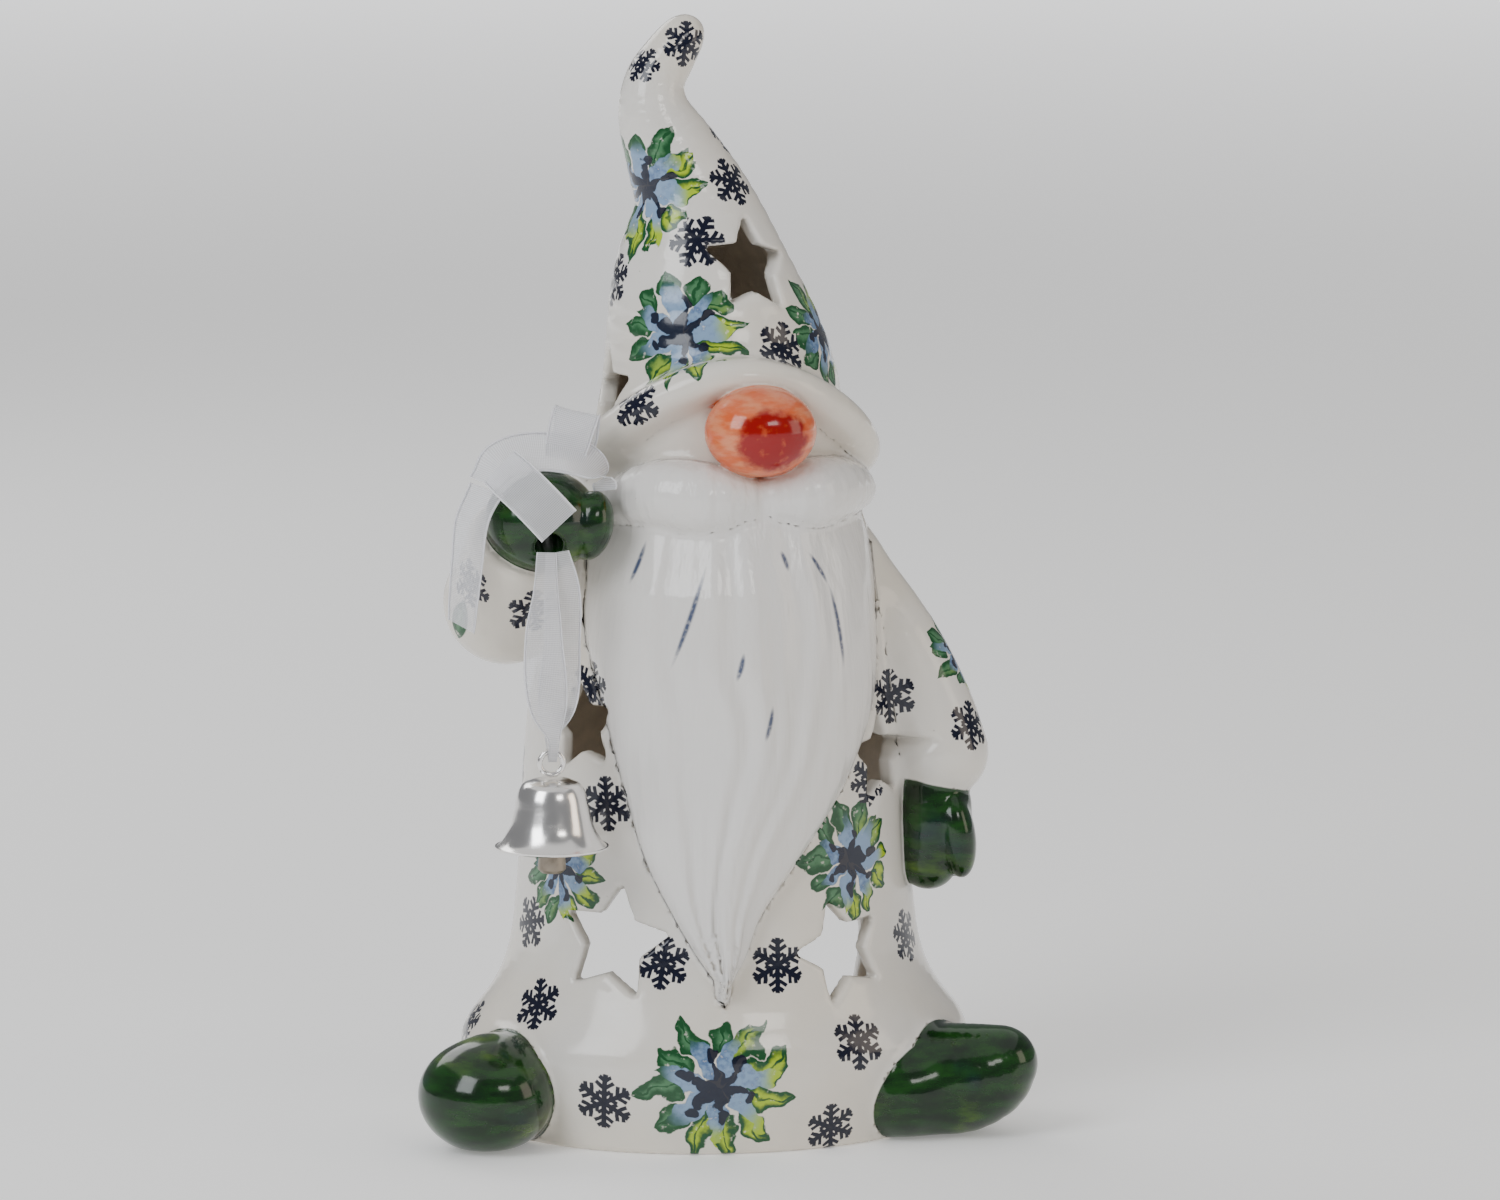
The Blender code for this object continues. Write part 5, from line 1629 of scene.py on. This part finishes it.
    def build(self) -> list[bpy.types.Object]:
        """Sweep and dress every run.

        Returns:
            The ribbon's pieces.
        """
        sweep = self.sweep()
        finish = SheerRibbon().build()
        pieces = []
        for run in self.runs():
            guide = self.guide(run)
            rows = np.array([v.co for v in guide.vertices])
            length = float(np.linalg.norm(np.diff(rows, axis=0), axis=1).sum())
            made = sweep.run(run.name, guide, {"Width": self.width, "Thickness": self.thickness,
                                               "Edge thread": self.thread, "Spacing": self.spacing,
                                               "Finish": finish})
            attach(made, run.body)
            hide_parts(*run.replaces)
            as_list(run.rests_on)
            LOG.info("%s: %.1f mm of ribbon, %d faces", run.name, length / MM, len(made.data.polygons))
            pieces.append(made)
        return pieces


# ---- Bell and tealight --------------------------------------------------------------


class Turning:
    """Turns an outline round an upright axis, with flutes where asked."""

    def __init__(self) -> None:
        """Build the tree once."""
        sweep = NodeSweep("turning")
        steps = sweep.size("Steps", 'NodeSocketInt')
        flutes = sweep.size("Flutes")
        depth = sweep.size("Flute depth")
        finish = sweep.size("Finish", 'NodeSocketMaterial')
        outline = sweep.node('GeometryNodeMeshToCurve', {}, {0: sweep.entry.outputs[0]}).outputs[0]
        ring = sweep.node('GeometryNodeCurvePrimitiveCircle', {},
                          {"Resolution": steps, "Radius": 1e-7}).outputs[0]
        swept = sweep.node('GeometryNodeCurveToMesh', {},
                           {"Curve": ring, "Profile Curve": outline}).outputs[0]
        spot = sweep.node('GeometryNodeInputPosition', {}, {}).outputs[0]
        parts = sweep.node('ShaderNodeSeparateXYZ', {}, {0: spot})
        angle = sweep.math('ARCTAN2', parts.outputs[1], parts.outputs[0])
        wave = sweep.math('SINE', sweep.math('MULTIPLY', angle, flutes))
        fluted = sweep.node('GeometryNodeInputNamedAttribute', {"data_type": 'FLOAT'},
                            {"Name": "fluted"}).outputs[0]
        swell = sweep.math('MULTIPLY', sweep.math('MULTIPLY', wave, depth), fluted)
        flat = sweep.node('ShaderNodeCombineXYZ', {}, {0: parts.outputs[0], 1: parts.outputs[1]}).outputs[0]
        out = sweep.node('ShaderNodeVectorMath', {"operation": 'NORMALIZE'}, {0: flat}).outputs[0]
        shift = sweep.node('ShaderNodeVectorMath', {"operation": 'SCALE'},
                           {0: out, "Scale": swell}).outputs[0]
        moved = sweep.node('GeometryNodeSetPosition', {}, {"Geometry": swept, "Offset": shift}).outputs[0]
        merged = sweep.node('GeometryNodeMergeByDistance', {},
                            {"Geometry": moved, "Distance": 2e-6}).outputs[0]
        sweep.end(merged, finish)
        self.sweep = sweep

    def turn(self, name: str, outline: Sequence[tuple[float, float]], centre: Vector,
             finish: bpy.types.Material,
             steps: int = 96, flutes: int = 0, depth: float = 0.0,
             fluted: Sequence[float] = ()) -> bpy.types.Object:
        """Turn a closed outline.

        Args:
            name: The piece's name.
            outline: Radius and height pairs in a closed loop.
            centre: Where the outline's zero lies.
            finish: Its material.
            steps: Segments round the axis.
            flutes: Number of flutes.
            depth: Half depth of a flute.
            fluted: Share of the flute at each outline point.

        Returns:
            The finished object.
        """
        mesh = bpy.data.meshes.new(name + "_outline")
        count = len(outline)
        links = [(i, (i + 1) % count) for i in range(count)
                 if max(outline[i][0], outline[(i + 1) % count][0]) > 0]
        mesh.from_pydata([(radius, -height, 0.0) for radius, height in outline], links, [])
        layer = mesh.attributes.new("fluted", 'FLOAT', 'POINT')
        layer.data.foreach_set("value", list(fluted) or [0.0] * count)
        made = self.sweep.run(name, mesh, {"Steps": steps, "Flutes": float(flutes), "Flute depth": depth,
                                           "Finish": finish})
        clean = bmesh.new()
        clean.from_mesh(made.data)
        bmesh.ops.remove_doubles(clean, verts=clean.verts, dist=1e-6)
        bmesh.ops.dissolve_degenerate(clean, dist=1e-7, edges=clean.edges)
        bmesh.ops.recalc_face_normals(clean, faces=clean.faces)
        bmesh.ops.translate(clean, verts=clean.verts, vec=centre)
        clean.to_mesh(made.data)
        clean.free()
        made.data.set_sharp_from_angle(angle=math.radians(35))
        return made


@dataclass
class Bell:
    """A small spun bell on a wire loop, with a hanging clapper."""

    wall: float = 0.0007
    bead: float = 0.0004
    loop_wire: float = 0.0006
    profile: tuple = (              # share of the radius, share of the height
        (1.0, 0.02), (0.89, 0.11), (0.76, 0.30), (0.68, 0.55), (0.62, 0.78), (0.52, 0.93),
        (0.33, 0.993),
    )

    def build(self, turning: Turning) -> list[bpy.types.Object]:
        """Make the shell, the loop, the clapper's wire and its weight."""
        low, high = (Vector(corner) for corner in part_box("bell_shell"))
        centre = Vector(((low.x + high.x) / 2, (low.y + high.y) / 2, low.z))
        radius = (high.x - low.x) / 2
        height = high.z - low.z
        silver = TurnedMetal("bell_silver", (0.90, 0.88, 0.86), rough=0.16, worn=0.10,
                             axis=tuple(centre)).build()
        dull = TurnedMetal("clapper_dull", (0.36, 0.31, 0.25), (0.18, 0.15, 0.12), 0.38, 0.6,
                           tuple(centre)).build()
        shell = turning.turn("bell_silver_shell", self.outline(radius, height), centre, silver, 128)
        loop_low, loop_high = (Vector(corner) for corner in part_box("bell_loop"))
        loop = self.ring("bell_silver_loop", (loop_low + loop_high) / 2, (loop_high.x - loop_low.x) / 2,
                         silver)
        wire_low, wire_high = (Vector(corner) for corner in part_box("clapper_wire"))
        wire = self.twisted_wire(turning, (wire_low + wire_high) / 2, wire_high.z - wire_low.z, dull)
        weight_low, weight_high = (Vector(corner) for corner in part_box("clapper_weight"))
        span = weight_high.z - weight_low.z
        reach = (weight_high.x - weight_low.x) / 2
        outline = [(0, 0), (reach * 0.72, 0), (reach * 0.80, 0.0002), (reach * 0.99, span * 0.10),
                   (reach, span * 0.16),
                   (reach * 0.92, span * 0.60), (reach * 0.80, span * 0.93), (reach * 0.72, span * 0.99),
                   (reach * 0.30, span), (0, span)]
        foot = Vector(((weight_low.x + weight_high.x) / 2, (weight_low.y + weight_high.y) / 2,
                       weight_low.z))
        weight = turning.turn("clapper_dull_weight", outline, foot, dull, 48)
        rows = ((shell, "bell_shell", "bell", "bell_metal"), (loop, "bell_loop", "bell", "bell_metal"),
                (wire, "clapper_wire", "clapper", "clapper_metal"),
                (weight, "clapper_weight", "clapper", "clapper_metal"))
        for made, node, body, slot in rows:
            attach(made, body)
            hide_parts(node)
            LOG.info("%s: %d faces", made.name, len(made.data.polygons))
        return [shell, loop, wire, weight]

    def outline(self, radius: float, height: float) -> list[tuple[float, float]]:
        """The bell's section: flared skirt with a beaded rim, round shoulder, even wall."""
        crown = radius * 0.46
        shape = smooth_rows(self.profile, 5)
        outside = [(radius - self.bead * 0.6, 0.0), (radius, self.bead * 0.5), (radius, self.bead * 1.4)]
        outside += [(r * radius - self.bead * 0.5, h * height) for r, h in shape[1:]]
        outside += [(crown * 0.45, height), (0.0, height)]
        inside = [(0.0, height - self.wall)]
        inside += [(max(r * radius - self.bead * 0.5 - self.wall, 0.001), h * height - self.wall * 0.4)
                   for r, h in shape[:0:-1]]
        inside += [(radius - self.wall * 1.6, 0.0)]
        return outside + inside

    def ring(self, name: str, centre: Vector, outer: float, finish: bpy.types.Material) -> bpy.types.Object:
        """A round wire ring that stands in the front plane."""
        bpy.ops.mesh.primitive_torus_add(major_radius=outer - self.loop_wire, minor_radius=self.loop_wire,
                                         major_segments=64, minor_segments=16, rotation=(math.pi / 2, 0, 0))
        made = bpy.context.object
        made.name = name
        made.data.name = name
        made.data.transform(made.matrix_basis)
        made.matrix_basis = Matrix.Identity(4)
        made.data.transform(Matrix.Translation(centre))
        made.data.shade_smooth()
        made.data.materials.append(finish)
        return made

    def twisted_wire(self, turning: Turning, centre: Vector, span: float,
                     finish: bpy.types.Material) -> bpy.types.Object:
        """The clapper's thin stem."""
        radius = self.loop_wire
        outline = [(0, 0), (radius, 0.0)]
        outline += [(radius * (0.86 + 0.14 * math.cos(math.pi * i)), span * i / 12) for i in range(1, 12)]
        outline += [(radius, span), (0, span)]
        return turning.turn("clapper_dull_wire", outline, centre - Vector((0, 0, span / 2)), finish, 16)


@dataclass
class Tealight:
    """A pressed cup of thin metal with flutes, its wax and a braided wick."""

    wall: float = 0.0003
    flutes: int = 44

    def build(self, turning: Turning) -> list[bpy.types.Object]:
        """Make the cup, the wax and the wick."""
        low, high = (Vector(corner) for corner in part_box("tealight_cup"))
        centre = Vector(((low.x + high.x) / 2, (low.y + high.y) / 2, low.z))
        radius = (high.x - low.x) / 2
        span = high.z - low.z
        tin = TurnedMetal("candle_cup", (0.80, 0.80, 0.80), (0.5, 0.5, 0.5), 0.22, 0.3,
                          tuple(centre)).build()
        side = [(radius - 0.0010 + 0.0002 * (i % 2), span * (0.08 + 0.80 * i / 8)) for i in range(9)]
        outline = [(0, 0.0004), (radius * 0.55, 0.0004), (radius * 0.60, 0), (radius - 0.0016, 0)] + side
        outline += [(radius, span * 0.93), (radius, span), (radius - 0.0006, span),
                    (radius - 0.0009, span * 0.95)]
        outline += [(radius - 0.0013, span * 0.5), (radius - 0.0020, 0.0006), (0, 0.0007)]
        fluted = [1.0 if point in side[1:-1] else 0.0 for point in outline]
        cup = turning.turn("candle_cup_fluted", outline, centre, tin, 352, self.flutes, 0.00022, fluted)
        wax_low, wax_high = (Vector(corner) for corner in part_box("tealight_wax"))
        wax_radius = (wax_high.x - wax_low.x) / 2 - 0.0012
        wax_span = wax_high.z - wax_low.z
        outline = [(0, 0), (wax_radius - 0.0008, 0), (wax_radius, 0.0010), (wax_radius, wax_span - 0.0002),
                   (wax_radius - 0.0006, wax_span - 0.0006), (wax_radius - 0.0020, wax_span - 0.0011),
                   (wax_radius * 0.5, wax_span - 0.0012), (0.0020, wax_span - 0.0011),
                   (0.0012, wax_span - 0.0006), (0, wax_span - 0.0006)]
        wax = turning.turn("candle_wax_pool", outline, Vector((centre.x, centre.y, wax_low.z)),
                           CandleWax().build(), 96)
        wick_low, wick_high = (Vector(corner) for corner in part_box("wick"))
        reach = (wick_high.x - wick_low.x) / 2
        wick_span = wick_high.z - wick_low.z
        outline = [(0, 0), (reach, 0)] + [
            (reach * (0.9 + 0.1 * math.cos(math.pi * i)), wick_span * i / 16) for i in range(1, 16)]
        outline += [(reach * 0.7, wick_span), (0, wick_span)]
        wick = turning.turn("candle_wick_braid", outline, Vector((centre.x, centre.y, wick_low.z)),
                            BraidedCotton().build(), 16)
        rows = ((cup, "tealight_cup", "candle_cup"), (wax, "tealight_wax", "candle_wax"),
                (wick, "wick", "wick_cotton"))
        for made, node, slot in rows:
            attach(made, "tealight")
            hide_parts(node)
            LOG.info("%s: %d faces", made.name, len(made.data.polygons))
        return [cup, wax, wick]


# ---- Studio -----------------------------------------------------------------------


@dataclass
class Studio:
    """Pale floor, soft lights and the camera."""

    azimuth: float = -10.0
    elevation: float = 8.0
    distance: float = 1.60
    frame_height: float = 0.2720
    sensor: float = 24.0
    aim: tuple[float, float, float] = (0.0082, 0.0, 0.1190)
    floor_size: float = 12.0
    backdrop: float = 1.75
    floor_lift: float = 1.6
    ambient: float = 0.24
    lamp_aim: tuple[float, float, float] = (0.0, 0.0, 0.11)
    lamps: tuple = (                # name, place, size, power, colour
        ("overhead", (0.0, 0.3, 3.2), (6.0, 6.0), 62.0, (1.0, 0.99, 0.97)),
        ("window_left", (-1.05, -0.85, 0.95), (0.70, 0.90), 13.0, (0.93, 0.96, 1.0)),
        ("fill_right", (1.20, -0.60, 0.45), (0.50, 0.70), 2.6, (1.0, 0.86, 0.70)),
        ("window_front", (0.45, -1.30, 0.85), (0.45, 0.22), 2.2, (1.0, 0.98, 0.95)),
        ("back_left", (-0.50, 1.10, 0.90), (0.90, 0.60), 5.0, (1.0, 1.0, 1.0)),
    )

    def build(self) -> None:
        """Set up the floor, the lights, the world and the camera."""
        self.floor()
        self.world()
        self.lights()
        self.camera()

    def floor(self) -> None:
        """A plain pale floor."""
        half = self.floor_size
        rows = [(-half, -half, 0), (half, -half, 0), (half, half, 0), (-half, half, 0)]
        floor = make_object("studio_floor", np.array(rows, float), [(0, 1, 2, 3)], smooth=False)
        paint = Paint("studio_floor")
        cloud = paint.noise(paint.place(), 0.6, 2.0)
        colour = paint.mix(cloud, (0.88, 0.88, 0.88), (0.91, 0.91, 0.905))
        far = paint.length(paint.place()).rise(0.7, 7.0)
        glow = paint.mix(far, (0.16, 0.158, 0.155), (0.90, 0.90, 0.91))
        floor.data.materials.append(paint.finish({
            "Base Color": colour, "Roughness": 0.65, "Specular IOR Level": 0.2,
            "Emission Color": glow, "Emission Strength": self.floor_lift,
        }))
        floor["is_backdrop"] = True

    def world(self) -> None:
        """Pale surroundings that look lighter than the light they give."""
        world = bpy.data.worlds.new("studio")
        world.use_nodes = True
        tree = world.node_tree
        tree.nodes.clear()
        seen = tree.nodes.new('ShaderNodeBackground')
        seen.inputs[0].default_value = (0.97, 0.97, 0.98, 1.0)
        seen.inputs[1].default_value = self.backdrop
        given = tree.nodes.new('ShaderNodeBackground')
        given.inputs[0].default_value = (0.94, 0.96, 1.0, 1.0)
        given.inputs[1].default_value = self.ambient
        straight = tree.nodes.new('ShaderNodeLightPath').outputs["Is Camera Ray"]
        blend = tree.nodes.new('ShaderNodeMixShader')
        end = tree.nodes.new('ShaderNodeOutputWorld')
        tree.links.new(straight, blend.inputs[0])
        tree.links.new(given.outputs[0], blend.inputs[1])
        tree.links.new(seen.outputs[0], blend.inputs[2])
        tree.links.new(blend.outputs[0], end.inputs[0])
        bpy.context.scene.world = world

    def area(self, name: str, place: Sequence[float], size: tuple[float, float], power: float,
             colour: Colour) -> None:
        """A soft rectangular light that looks at the figure."""
        data = bpy.data.lights.new(name, 'AREA')
        data.shape = 'RECTANGLE'
        data.size, data.size_y = size
        data.energy = power
        data.color = colour
        lamp = bpy.data.objects.new(name, data)
        lamp.location = place
        aim = Vector(self.lamp_aim) - Vector(place)
        lamp.rotation_euler = aim.to_track_quat('-Z', 'Y').to_euler()
        bpy.context.scene.collection.objects.link(lamp)

    def lights(self) -> None:
        """Overhead light, a cool window at the left, a warm fill, a strip in front and a light behind."""
        for row in self.lamps:
            self.area(*row)

    def camera(self) -> None:
        """A long lens at the figure's front, a little to its left and above."""
        data = bpy.data.cameras.new("camera")
        camera = bpy.data.objects.new("camera", data)
        turn, lift = math.radians(self.azimuth), math.radians(self.elevation)
        aim = Vector(self.aim)
        back = Vector((math.sin(turn) * math.cos(lift), -math.cos(turn) * math.cos(lift), math.sin(lift)))
        camera.location = aim + back * self.distance
        camera.rotation_euler = (-back).to_track_quat('-Z', 'Y').to_euler()
        data.sensor_fit = 'VERTICAL'
        data.sensor_height = self.sensor
        data.lens = data.sensor_height * self.distance / self.frame_height
        data.clip_start = 0.05
        data.clip_end = 20.0
        bpy.context.scene.collection.objects.link(camera)
        bpy.context.scene.camera = camera


# ---- Assembly --------------------------------------------------------------------


@dataclass
class Figurine:
    """The fused stoneware figure, parted into its luted pieces."""

    steps: tuple = (
        ("robe_shell", 0.0011, "white_glaze"), ("hat_shell", 0.0010, "white_glaze"),
        ("hat_brim", 0.0009, "white_glaze"),
        ("beard", 0.0009, "beard_glaze"), ("moustache", 0.0008, "beard_glaze"),
        ("nose", 0.0008, "nose_glaze"),
        ("raised_sleeve", 0.0009, "white_glaze"), ("raised_mitten", 0.0007, "green_glaze"),
        ("hanging_sleeve", 0.0009, "white_glaze"), ("hanging_mitten", 0.0008, "green_glaze"),
        ("left_boot", 0.0009, "green_glaze"), ("right_boot", 0.0009, "green_glaze"),
    )
    coarse: float = 1.6

    def build(self) -> list[bpy.types.Object]:
        """Net, stamp and dress every clay piece."""
        figure = Figure()
        finishes = {slot: GlazedClay("glaze_" + slot).build()
                    for slot in dict.fromkeys(row[2] for row in self.steps)}
        pieces = []
        for name, step, slot in self.steps:
            made = ClayPiece(name, step * (1.0)).build(figure)
            made.data.materials.append(finishes[slot])
            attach(made, "figurine")
            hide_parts(name)
            LOG.info("%s: %d faces", made.name, len(made.data.polygons))
            pieces.append(made)
        Decorator(FRONT_MARKS + BACK_MARKS).dress(pieces)
        return pieces


def write_sizes() -> None:
    """Work out the frame's box and the finished model's box."""
    plain = [[list(corner) for corner in box] for box in (CAD_BOX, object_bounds())]


def main() -> None:
    """Build the lantern's pieces in order and set them in the studio."""
    logging.basicConfig(level=logging.INFO, format="%(name)s: %(message)s")
    Figurine().build()
    Ribbon().build()
    turning = Turning()
    Bell().build(turning)
    Tealight().build(turning)
    Studio().build()
    write_sizes()


if __name__ == "__main__":
    main()
